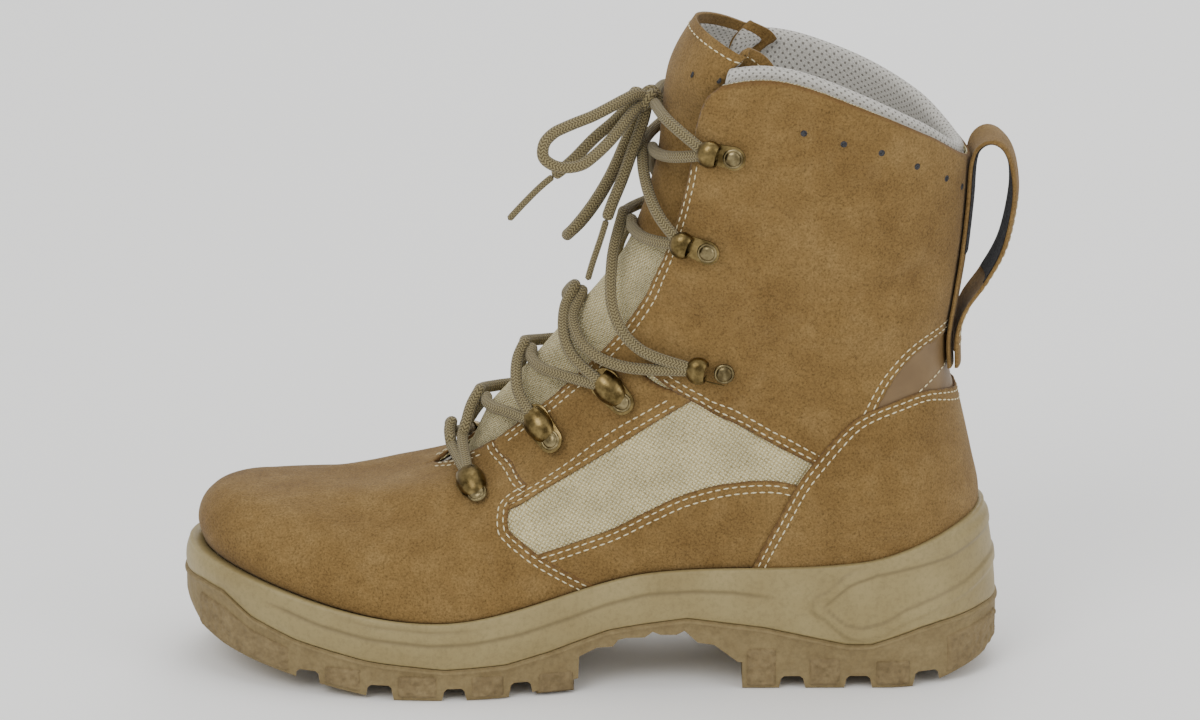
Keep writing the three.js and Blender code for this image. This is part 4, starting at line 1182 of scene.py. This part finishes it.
def air_hole_shades(name, spots, proud):
    """Small punched holes, each a dark disc of painted shade with a soft rim on the suede."""
    bm = bmesh.new()
    for place, normal in zip(shoe_points(*spots.T, proud), last_normals(*spots.T)):
        shade_disc(bm, place, Vector(normal))
    make_piece(bm, name, BLACK)


# ---- Sole ----
SOLE_BACK, SOLE_TOE, SOLE_TOE_IN, SOLE_HEEL_ROUND, SOLE_TOE_ROUND = 153.4, -154, 6, 45, 84
SOLE_OUTER, SOLE_INNER = (41, 41.5, 57), (41, 33.5, 54)
# Along the sole: height of the joint of midsole and outsole at the edge, of that joint further in,
# and of the underside before the lugs are cut.
SOLE_LINES = np.array([
    (-154, 35, 26, 24), (-147, 35.8, 24, 16), (-139, 34.5, 20.5, 12.6), (-128, 27, 17, 9.6), (-111, 21, 13.5, 6),
    (-85, 15.5, 11.5, 1.3), (-78, 14.6, 11, 0), (-55, 12.5, 11, 0), (-32, 13.6, 12, 0), (-15, 17.6, 15.5, 0),
    (6, 24.1, 22.5, 0), (36, 28.2, 28, 0), (65, 24.4, 24, 0), (96, 17.5, 17.5, 0), (105, 17.5, 17.5, 0),
    (124, 23.6, 17.5, 0), (131, 25, 17.5, 1.5), (148, 26.8, 17.5, 6), (154, 26.2, 17.5, 12),
], float)
JOINT, BASE, UNDER = 1, 2, 3
FLAT_IN = -14  # the sole's flat middle starts this far inside its outline
# Cross grooves: x from and to, and the height of the roof. Channels: x from and to, half width, roof.
LUG_GROOVES = [(-111.6, -101.7, 9.5), (-84.7, -74.2, 6), (-56, -46.8, 5), (-31, -22, 6.2), (70.6, 80.5, 5),
               (95.2, 105.7, 5), (121.2, 131.4, 6)]
CHANNELS = [(-120, -2, 4, 5), (56, 132, 4, 5)]
# The space under the arch, seen from the side, with its bars.
ARCH = [
    (-40, -2), (-40, 0), (-31, 0.7), (-22, 1.9), (-5, 5.9), (-4.6, 14.4), (2, 17.4), (8, 17.4), (10, 20),
    (13, 20.6), (20, 20.6), (23, 22.8), (26, 21.6), (32, 21.6), (35, 23.2), (40, 18.4), (46, 17.6),
    (55, 10.8), (56.8, 10.6), (56.8, -2),
]
MIDSOLE_GROOVE = [(-124, 34.5), (-116, 32.4), (-102, 27.9), (-84, 24), (-61, 21.9), (-44, 22.5), (-27, 25.1),
                  (-9, 29.7), (6, 34.3), (22, 37.7), (39, 38.7), (53, 38.3), (70, 36)]
GROOVE_HALF, SECOND_GROOVE = 0.8, 5.2  # half width, and height of the second groove over the first
# The sunk oval that wraps round the heel: its upper and lower edge, its front end and its band.
WRAP_UPPER = [(86, 35), (90.8, 37.8), (96.4, 41.4), (107.4, 45.5), (121.3, 47.6), (134.9, 49.5), (147.7, 53.6),
              (154, 55)]
WRAP_LOWER = [(86, 31.5), (89.6, 28.6), (95.3, 25.2), (101.7, 24.3), (110, 26.4), (118.3, 31.4), (129.6, 34.9),
              (140.6, 38.4), (148.9, 42.6), (154, 44.5)]
WRAP_FRONT, WRAP_FRONT_Z, WRAP_BAND = 88, 33.2, 5.2


def sole_line(kind, x):
    return np.interp(x, SOLE_LINES[:, 0], SOLE_LINES[:, kind])


def outline_points(turn):
    """The sole's outline as x and y."""
    turn = np.mod(turn, 1)
    share = (1 + np.cos(2 * math.pi * turn)) / 2
    length = SOLE_BACK - SOLE_TOE
    outer = turn < 0.5
    widths = [np.where(outer, a, b) for a, b in zip(SOLE_OUTER, SOLE_INNER)]
    ends = rounding(share * length, SOLE_HEEL_ROUND) * rounding((1 - share) * length, SOLE_TOE_ROUND)
    half = width_at(share, *widths) * ends
    middle = SOLE_TOE_IN * ease((share - 0.55) / 0.45)
    return np.stack([mix(SOLE_BACK, SOLE_TOE, share), middle + np.where(outer, -half, half)], -1)


def outline_normals(turn):
    """Unit directions out of the sole's outline."""
    along = outline_points(turn + TURN_STEP) - outline_points(turn - TURN_STEP)
    along /= np.linalg.norm(along, axis=-1, keepdims=True)
    return np.stack([along[:, 1], -along[:, 0]], -1)


def sole_points(turn, grow):
    """The sole's outline moved out by grow, as x and y."""
    return outline_points(turn) + outline_normals(turn) * np.asarray(grow)[..., None]


def towards_middle(points, turn, share):
    """Moves an edge's x, y points in to the sole's middle line, where the two sides meet."""
    middle_x = np.clip(outline_points(turn)[:, 0], -118, 122)
    middle_y = SOLE_TOE_IN * ease(-(middle_x - 16) / 140)
    return np.stack([mix(points[:, 0], middle_x, share), mix(points[:, 1], middle_y, share)], -1)


def rows_surface(rows):
    """A surface that runs through rows of points: each row is a function of turn."""
    def surface(u, v):
        made = np.stack([row(u) for row in rows])
        at = v * (len(rows) - 1)
        low = np.clip(np.floor(at + 1e-6).astype(int), 0, len(rows) - 2)
        share = (at - low)[:, None]
        spot = np.arange(len(u))
        return mix(made[low, spot], made[low + 1, spot], share)
    return surface


def with_height(xy, z):
    return np.stack([xy[:, 0], xy[:, 1], z], -1)


def relief(points):
    """How far the midsole's side stands out, and how much painted shade its grooves and the sunk oval's edges get, at
    each point.
    """
    x, z = points[:, 0], points[:, 2]
    over = z - line_at(MIDSOLE_GROOVE, x)
    fade = ease((x + 126) / 14) * ease((74 - x) / 16)
    groove = np.exp(-(over / GROOVE_HALF) ** 2) * fade
    second = np.exp(-((over - SECOND_GROOVE) / GROOVE_HALF) ** 2) * ease((x + 100) / 20) * ease((-28 - x) / 30)
    upper, lower = line_at(WRAP_UPPER, x), line_at(WRAP_LOWER, x)
    middle, half = (upper + lower) / 2, (upper - lower) / 2 * rounding(x - WRAP_FRONT, 12)
    ahead = -np.hypot(x - WRAP_FRONT, z - WRAP_FRONT_Z)
    inside = np.where(x > WRAP_FRONT, half - np.abs(z - middle), ahead)
    band = inside + WRAP_BAND
    wrap = ease((band + 1.2) / 2.4) * ease((x - 78) / 3)
    oval = ease((inside + 0.8) / 1.6)
    # painted shade along the sunk oval's edge and the wrap band's edge
    oval_edge_shade = np.exp(-(inside / 0.75) ** 2) * (x > 84)
    band_edge_shade = 0.6 * np.exp(-(band / 0.8) ** 2) * (x > 80) * ease((104 - x) / 10)
    edge = oval_edge_shade + band_edge_shade
    out = 0.85 * wrap - 0.75 * oval - 0.45 * groove - 0.3 * second
    return out, np.clip(0.6 * groove + 0.35 * second + 0.55 * edge, 0, 0.8)


def midsole():
    def rim(turn, proud, lift):
        points = shoe_points(turn, RIM_LEVEL, proud)
        points[:, 2] = last_points(turn, RIM_LEVEL)[:, 2] + lift
        return points

    def edge(turn):
        return RIM + TOE_BUMPER * ease(1.6 * np.cos(2 * math.pi * turn) - 0.6)

    def between(share, bulge):
        def row(turn):
            low = sole_points(turn, bulge)
            low = with_height(low, sole_line(JOINT, low[:, 0]))
            high = rim(turn, edge(turn) + bulge, -1.4)
            points = mix(low, high, share)
            out, _ = relief(points)
            points[:, :2] += outline_normals(turn) * out[:, None] * ease(share * 12) * ease((1 - share) * 9)
            return points
        return row

    def inside(level, drop):
        def row(turn):
            points = shoe_points(turn, level, GAP)
            points[:, 2] = last_points(turn, level)[:, 2] - drop
            return points
        return row

    def base(close):
        def row(turn):
            points = towards_middle(sole_points(turn, FLAT_IN), turn, close)
            return with_height(points, sole_line(BASE, points[:, 0]))
        return row

    def middle(turn):
        """The footbed's middle line, where the two sides meet."""
        points = towards_middle(inside(0, GAP)(turn)[:, :2], turn, 1)
        back_x, toe_x = (section(name, np.zeros(1)) for name in ("back_x", "toe_x"))
        on_line = turn_at((back_x - points[:, 0]) / (back_x - toe_x))
        return with_height(points, last_points(on_line, 0)[:, 2] - GAP)

    shares = np.linspace(0, 1, 46)
    side = [between(s, 0.9 * math.sin(math.pi * min(s + 0.02, 1)) ** 0.7) for s in shares]
    lip = [
        lambda t: rim(t, edge(t) - 0.1, -0.7), lambda t: rim(t, edge(t) - 0.6, -0.2),
        lambda t: rim(t, edge(t) - 1.3, 0), lambda t: rim(t, edge(t) - 2.2, -0.1), lambda t: rim(t, GAP, -0.6),
    ]
    rows = [base(1), base(0), *side, *lip, inside(0.5, 0), inside(0, GAP), middle]
    bm = bent_grid(560, len(rows) - 1, rows_surface(rows), (0.72, 0.09))
    # the foam's painted shade: its grooves and the sunk oval's edges darkened
    groove = bm.verts.layers.float.new("groove")
    points = from_frame([v.co for v in bm.verts])
    _, dark = relief(points)
    flat = outline_points(np.linspace(0, 1, 400, endpoint=False))
    for vert, point, shade in zip(bm.verts, points, dark):
        near = point[2] > sole_line(JOINT, point[0]) + 0.5 and np.min(np.abs(flat[:, 0] - point[0])) < 3
        vert[groove] = shade if near else 0.0
    make_piece(bm, "midsole_cast", FOAM, replaces=["midsole"])


def block(profile, half_width=80):
    """A bar across the sole from a side profile of x and z."""
    bm = bmesh.new()
    ring = [bm.verts.new(to_frame((x, -half_width, z))) for x, z in profile]
    made = bmesh.ops.extrude_face_region(bm, geom=[bm.faces.new(ring)])
    bmesh.ops.translate(bm, verts=new_verts(made), vec=(0, 2 * half_width * MM, 0))
    bmesh.ops.recalc_face_normals(bm, faces=bm.faces)
    return bm


def cutter(bm):
    return add_object("cutter", mesh_from(bm, "cutter"))


def applied(piece):
    """Bakes a piece's modifiers into its mesh."""
    bpy.context.view_layer.update()
    evaluated = piece.evaluated_get(bpy.context.evaluated_depsgraph_get())
    mesh = bpy.data.meshes.new_from_object(evaluated)
    piece.modifiers.clear()
    piece.data = mesh


def outsole():
    def row(grow, kind, lift=0.0, close=0.0, blend_to=None, share=0.0):
        def made(turn):
            edge = towards_middle(sole_points(turn, grow), turn, close)
            z = sole_line(kind, edge[:, 0]) + lift
            if blend_to is not None:
                z = mix(z, sole_line(blend_to, edge[:, 0]), share)
            return with_height(edge, z)
        return made

    rows = [row(FLAT_IN, BASE, -GAP, close=1), row(FLAT_IN, BASE, -GAP), row(0, JOINT, -GAP),
            row(0.9, JOINT, -0.9), row(1.1, JOINT, -1.7), row(0.5, JOINT, -2.6)]
    rows += [row(0.4, UNDER, blend_to=JOINT, share=share) for share in (0.72, 0.5, 0.3, 0.15)]
    rows += [row(0.1, UNDER, 0.5), row(-0.6, UNDER), row(FLAT_IN, UNDER), row(FLAT_IN, UNDER, close=1)]
    bm = bent_grid(240, len(rows) - 1, rows_surface(rows), (0.72, 0.09))
    piece = make_piece(bm, "outsole_rubber", RUBBER, replaces=["outsole"])
    cuts = [cutter(block(ARCH))]
    for start, end, roof in LUG_GROOVES:
        cuts.append(cutter(block([(start - 0.5, -2), (end + 0.5, -2), (end - 0.8, roof - 1), (end - 2, roof),
                                  (start + 2, roof), (start + 0.8, roof - 1)])))
    for start, end, half, roof in CHANNELS:
        cuts.append(cutter(block([(start, -2), (end, -2), (end, roof), (start, roof)], half)))
    for cut in cuts:
        modifier = piece.modifiers.new("cut", "BOOLEAN")
        modifier.operation, modifier.solver, modifier.object = "DIFFERENCE", "EXACT", cut
        applied(piece)
        bpy.data.objects.remove(cut)
    piece.data.materials.clear()
    piece.data.materials.append(RUBBER)
    piece.data.set_sharp_from_angle(angle=math.radians(35))


# Raised rough faces on the lugs' sides: x from and to, and height of their top edge.
LUG_FACES = [(-148, -113, None), (-100.5, -86, 12.5), (-73, -57.5, 10.5), (-45.5, -32.5, 10), (-20.5, -6.5, 9.5),
             (57.8, 70, 16.5), (81.5, 94.2, 12.5), (106.5, 120.2, 11.5), (133, 152.6, None)]


def lug_faces():
    """Rough rubber pads on the lugs' sides, round at the corners and pebbled in their shape."""
    whole = bmesh.new()
    for start, end, top in LUG_FACES:
        for side in (-1, 1):
            low_turn, high_turn = (turn_at((SOLE_BACK - x) / (SOLE_BACK - SOLE_TOE)) for x in (start, end))
            columns, rows = max(int((end - start) / 0.75), 12), 18 if top else 30

            def surface(u, v):
                turn = mix(low_turn, high_turn, u)
                turn = turn if side < 0 else 1 - turn
                xy = sole_points(turn, 0)
                under = sole_line(UNDER, xy[:, 0])
                joint = sole_line(JOINT, xy[:, 0])
                high = np.full_like(u, top) if top else mix(under, joint, 0.74)
                z = mix(under + 0.9, high, v)
                wide, tall = end - start, high - under
                from_edge = np.minimum.reduce([u * wide, (1 - u) * wide, v * tall, (1 - v) * tall])
                corner = np.minimum(u, 1 - u) * wide + np.minimum(v, 1 - v) * tall
                rise = ease(np.minimum(from_edge, np.maximum(corner - 1.2, 0)) / 1.3)
                spots = with_height(xy, z)
                rough = np.array([noise.cell(Vector((x * 0.9, y * 0.9, h * 1.1))) for x, y, h in spots])
                bumps = np.array([noise.noise(Vector(spot) * 0.85) for spot in spots])
                proud = mix(-0.5, 1.35, rise) + rise * (0.42 * bumps + 0.14 * rough)
                return with_height(sole_points(turn, proud), z)

            patch = bent_grid(columns, rows, surface, (0.02, 0.01))
            thicken(patch, 0.8, turned=side > 0)
            add_part(whole, patch)
    make_piece(whole, "lug_faces", LUG_RUBBER)


# ---- Hooks and lace loops ----
# Each one's kind and number, its rivet and its top as x and z, and its lift off the suede.
FITTINGS = [
    ("lace_loop", 1, (-42, 73), (-49, 80), 1.6), ("lace_loop", 2, (-14, 93), (-21.5, 101), 1.2),
    ("lace_loop", 3, (12, 110), (4, 118), 1.2), ("hook", 1, (49.6, 123), (39.5, 124.6), 1.1),
    ("hook", 2, (43.6, 171), (34.2, 174), 1.1), ("hook", 3, (52.6, 208), (43.6, 210), 1.1),
]


def fitting_frame(rivet, top, lift, outer):
    """A matrix that sets a fitting on the suede, its length towards the loop, and that length."""
    spots = np.array([rivet, top], float)
    turn, level = place_on(spots[:, 0], spots[:, 1], outer)
    start, end = (Vector(p) for p in last_points(turn, level))
    at_rivet, at_top = (Vector(n) for n in last_normals(turn, level))
    far = (end - start).length > 15  # across the curve of the vamp: follow the rivet's own face
    normal = (at_rivet * 3 + at_top if far else at_rivet + at_top).normalized()
    along = end - start
    stand = lift if far else max(along.dot(normal), 0) + lift + 0.7
    along = (along - normal * along.dot(normal)).normalized()
    turned = Matrix((along, normal.cross(along), normal)).transposed().to_4x4()
    place = Matrix.Translation(to_frame(start + normal * stand))
    return place @ turned @ Matrix.Scale(MM, 4), 11.5 if far else (end - start).length


def flat_plate(bm, spots, thick):
    """A plate round two or more discs given as x, y and radius."""
    for x, y, radius in spots:
        bmesh.ops.create_circle(bm, segments=28, radius=radius, matrix=Matrix.Translation((x, y, 0)))
    hull = bmesh.ops.convex_hull(bm, input=bm.verts[:])
    inner = [e for e in hull["geom_interior"] if isinstance(e, bmesh.types.BMVert)]
    bmesh.ops.delete(bm, geom=inner, context="VERTS")
    bmesh.ops.dissolve_limit(bm, angle_limit=0.01, verts=bm.verts, edges=bm.edges)
    keep, *others = bm.faces[:]
    bmesh.ops.delete(bm, geom=others, context="FACES_ONLY")
    made = bmesh.ops.extrude_face_region(bm, geom=[keep])
    bmesh.ops.translate(bm, verts=new_verts(made), vec=(0, 0, thick))
    rims = [e for e in bm.edges if abs(e.verts[0].co.z - e.verts[1].co.z) < 1e-6]
    bmesh.ops.bevel(bm, geom=rims, offset=thick * 0.35, segments=2, affect="EDGES", profile=0.5, material=-1)


def turned_profile(bm, profile, steps=28):
    """A round part spun from a profile of radius and height."""
    verts = [bm.verts.new((r, 0, z)) for r, z in profile]
    edges = [bm.edges.new(pair) for pair in zip(verts, verts[1:])]
    bmesh.ops.spin(bm, geom=verts + edges, axis=(0, 0, 1), cent=(0, 0, 0), dvec=(0, 0, 0),
                   angle=2 * math.pi, steps=steps, use_merge=True)
    bmesh.ops.remove_doubles(bm, verts=[v for v in bm.verts if v.link_faces], dist=1e-4)


def joined_parts(builders):
    """One bmesh of several parts, each built in its own."""
    whole = bmesh.new()
    for build in builders:
        part = bmesh.new()
        build(part)
        bmesh.ops.recalc_face_normals(part, faces=part.faces)
        add_part(whole, part)
    return whole


PLATE = 0.9  # thickness of a fitting's plate
RIVET = [(0, 2.3), (1.4, 2.25), (2.4, 1.95), (2.75, 1.6), (2.95, 1.35), (3.15, 1.5), (3.5, 1.45), (3.8, 1.1),
         (3.9, 0.7)]


def hood(bm, centre, size, front, thick=0.8):
    """A curved sheet-metal hood: half an egg, open in front."""
    bmesh.ops.create_uvsphere(bm, u_segments=32, v_segments=20, radius=1)
    bmesh.ops.scale(bm, vec=size, verts=bm.verts)
    bmesh.ops.translate(bm, vec=centre, verts=bm.verts)
    for plane_co, plane_no in (((0, 0, 0.4), (0, 0, -1)), front):
        bmesh.ops.bisect_plane(bm, geom=all_of(bm), plane_co=plane_co, plane_no=plane_no, clear_outer=True)
    bmesh.ops.solidify(bm, geom=all_of(bm), thickness=thick)


def make_fitting(kind, count, rivet, top, lift, outer):
    side = "outer" if outer else "inner"
    matrix, reach = fitting_frame(rivet, top, lift, outer)
    if kind == "hook":
        parts = [
            lambda bm: flat_plate(bm, [(0, 0, 4.7), (reach - 1, 0, 3.9)], PLATE),
            lambda bm: hood(bm, (reach - 0.6, 0, 2.6), (4.9, 5.3, 3.7), ((reach - 3.6, 0, 3), (-1, 0, 0.25))),
        ]
    else:
        parts = [
            lambda bm: flat_plate(bm, [(0, 0, 4.9), (reach - 2.5, 0, 5.9)], PLATE),
            lambda bm: hood(bm, (reach - 4.6, 0, 0.2), (8.4, 5.6, 4.9), ((reach + 0.6, 0, 2), (1, 0, 0.2))),
        ]
    body = joined_parts(parts)
    bmesh.ops.transform(body, matrix=matrix, verts=body.verts)
    node = f"{kind}_{side}_{count}"
    make_piece(body, f"{node}_plate", BRASS, replaces=[node], flat_angle=40)
    cap = joined_parts([lambda bm: turned_profile(bm, RIVET)])
    bmesh.ops.transform(cap, matrix=matrix, verts=cap.verts)
    make_piece(cap, f"{node}_rivet", WORN_BRASS, flat_angle=60)


# ---- Lace ----
# The rows of FITTINGS that a strand joins, and the section level at which it crosses the tongue.
CROSSINGS = [(0, 0, 6.42), (0, 1, 6.85), (1, 2, 7.55), (2, 3, 8.35), (3, 4, 9.3), (4, 5, 10.15)]
LACE_LIFT = 3.6  # over the suede beside a fitting
LACE_OVER, LACE_UNDER = 3.6, 0.1  # over the tongue, for the strand on top and the one below
TIP_RADIUS, TIP_SHARE = 1.25, 0.33  # the stiffened tips, and their share of a free end
KNOT = np.array([20.5, -5, 220.5])
BOW_OUTER = [
    (20.5, -7, 222), (16.5, -10.5, 223.5), (9, -17, 221.5), (0.9, -22, 218.5), (-7, -26, 216.3), (-14.2, -29, 213.5),
    (-18, -32, 209), (-17, -33, 204.5), (-12.3, -33, 202), (-4, -31, 201.9), (4.7, -25, 207.3), (10.5, -19, 212.5),
    (14.8, -13.5, 216.7), (19, -8, 219.6),
]
END_OUTER = [
    (19, -4.6, 220.5), (14.6, -5.4, 217.9), (8, -11.5, 213), (1, -16, 208.1), (-7.7, -18, 199.5), (-18, -19, 191.1),
    (-25, -19, 184), (-31, -19, 177.3),
]
BOW_INNER = [
    (20.5, -2.2, 219.5), (18.5, 0, 213.9), (13, 1, 202.5), (8, 2, 190.5), (2, 2.5, 179.5), (-5, 3, 169.5),
    (-9, 5.5, 164.5), (-8.6, 9, 163.9), (-3, 11, 169), (3.5, 11, 178.5), (9, 10, 189.5), (13.5, 7.6, 201),
    (18.5, 3.8, 211.1), (21, -1, 218.5),
]
END_INNER = [
    (20.6, -5.5, 219), (19.5, -7, 213.1), (15.6, -10, 202.5), (11.5, -13, 191.5), (7, -15, 180.5),
    (3.5, -16.5, 169.5), (0.5, -17.5, 160.5), (-1.5, -18, 153.5),
]


def lace_half(row, outer, level, over):
    """Half of a strand: from a fitting, over the suede and the tongue, to the front line."""
    kind, _, rivet, top, lift = FITTINGS[row]
    turn, start_level = spot_on(top, outer)
    front = 0 if outer else 1
    crown = TONGUE_PROUD + LACE / 2 + (LACE_OVER if over else LACE_UNDER)
    shares = np.array([0.3, 0.55, 0.8, 1])
    lifts = mix(LACE_LIFT, crown, ease(shares))
    matrix, reach = fitting_frame(rivet, top, lift, outer)
    held = matrix @ Vector((reach - (0.6 if kind == "hook" else 4), 0, 2.6))
    free = shoe_points(mix(turn, front, shares), mix(start_level, level, shares), lifts)
    return np.vstack([from_frame(held), free])


def laces():
    index = 0
    for start, end, level in CROSSINGS:
        for outer in ((True,) if start == end else (True, False)):
            first = lace_half(start, outer, level, outer)
            second = lace_half(end, not outer, level, outer)[::-1]
            bm, _ = cord_tube(np.vstack([first, second[1:]]))
            index += 1
            make_piece(bm, f"lace_strand_{index}", CORD, replaces=["lace_crossings"])


def strands_to_knot():
    """The short strands from the top hooks into the knot."""
    _, _, _, top, _ = FITTINGS[-1]
    for side, word in SIDES:
        turn, level = spot_on(top, side < 0)
        hook = shoe_points(np.array([turn]), np.array([level]), LACE_LIFT)[0]
        end = KNOT + (2.5, side * 2.5, -0.5)
        middle = (hook + end) / 2 + (-4, side * 5, 3.5)
        under = hook + (2.5, 0, -1.5)
        bm, _ = cord_tube([under, hook, middle, end])
        make_piece(bm, f"lace_to_knot_{word}", CORD)


def free_lace(name, node, line, tip=0.0):
    """A loop or end of the bow, with a stiffened tip where it is an end."""
    whole = smooth_line(line, 120)
    tail = None
    if tip:
        cut = int(len(whole) * (1 - tip))
        bm, _ = cord_tube(whole[cut - 2:], TIP_RADIUS, pitch=0.8)
        tail = make_piece(bm, f"{name}_tip", CORD)
        whole = whole[:cut]
    knots = whole[::6] if len(whole) % 6 == 1 else np.vstack([whole[::6], whole[-1:]])
    bm, middle = cord_tube(knots)
    piece = make_piece(bm, name, CORD, replaces=[node])
    path = to_frame(middle)


def bow():
    turn = np.linspace(0, 2 * math.pi, 60)
    along = np.sin(turn) + 2 * np.sin(2 * turn)
    across = 0.8 * (np.cos(turn) - 2 * np.cos(2 * turn))
    loop = np.stack([along, across, -1.4 * np.sin(3 * turn)], -1)
    bm, _ = cord_tube(KNOT + loop * 1.7)
    make_piece(bm, "lace_knot_wrap", CORD, replaces=["lace_knot"])
    free_lace("lace_bow_outer_cord", "lace_bow_outer", BOW_OUTER)
    free_lace("lace_end_outer_cord", "lace_end_outer", END_OUTER, tip=TIP_SHARE)
    free_lace("lace_bow_inner_cord", "lace_bow_inner", BOW_INNER)
    free_lace("lace_end_inner_cord", "lace_end_inner", END_INNER, tip=TIP_SHARE)


# ---- Assembly ----
laces()
strands_to_knot()
bow()
vamp()
for side, word in SIDES:
    eyestay(f"eyestay_{word}", side)
    quarter_strip(f"quarter_strip_{word}", side)
    shaft(f"shaft_{word}", side)
leather_patch()
heel_counter()
cloth = shell("cloth_layer", CLOTH, outside=-1.1, thickness=0.5, start=0.2)
mesh_uv_by_side(cloth)
shell("shaft_lining", LINING, outside=-WALL, thickness=0.75, start=0.1)
cloth = tongue_sheet("tongue_cloth", CLOTH, start=TONGUE_FROM, end=9.6, depth=0.3, thickness=2.8,
                     replaces=["tongue"])
tongue_sheet("tongue_suede", SUEDE, start=9.25, end=TONGUE_TO, depth=-0.2, thickness=1.3)
lining = tongue_sheet("tongue_lining", LINING, start=8.8, end=TONGUE_TO, depth=1.3, thickness=0.9,
                      inset=0.1)
tongue_seam()
collar_roll()
footbed()
upper_seams()
for side, word in SIDES:
    air_hole_shades(f"air_hole_shades_{word}", on_side(AIR_HOLES, side), 0.3)
pull_loop()
midsole()
outsole()
lug_faces()
for outer in (True, False):
    for fitting in FITTINGS:
        make_fitting(*fitting, outer)

bm = bmesh.new()
bmesh.ops.create_grid(bm, x_segments=2, y_segments=2, size=4)
floor = add_object("floor", mesh_from(bm, "floor"))
floor.data.materials.append(studio_floor())
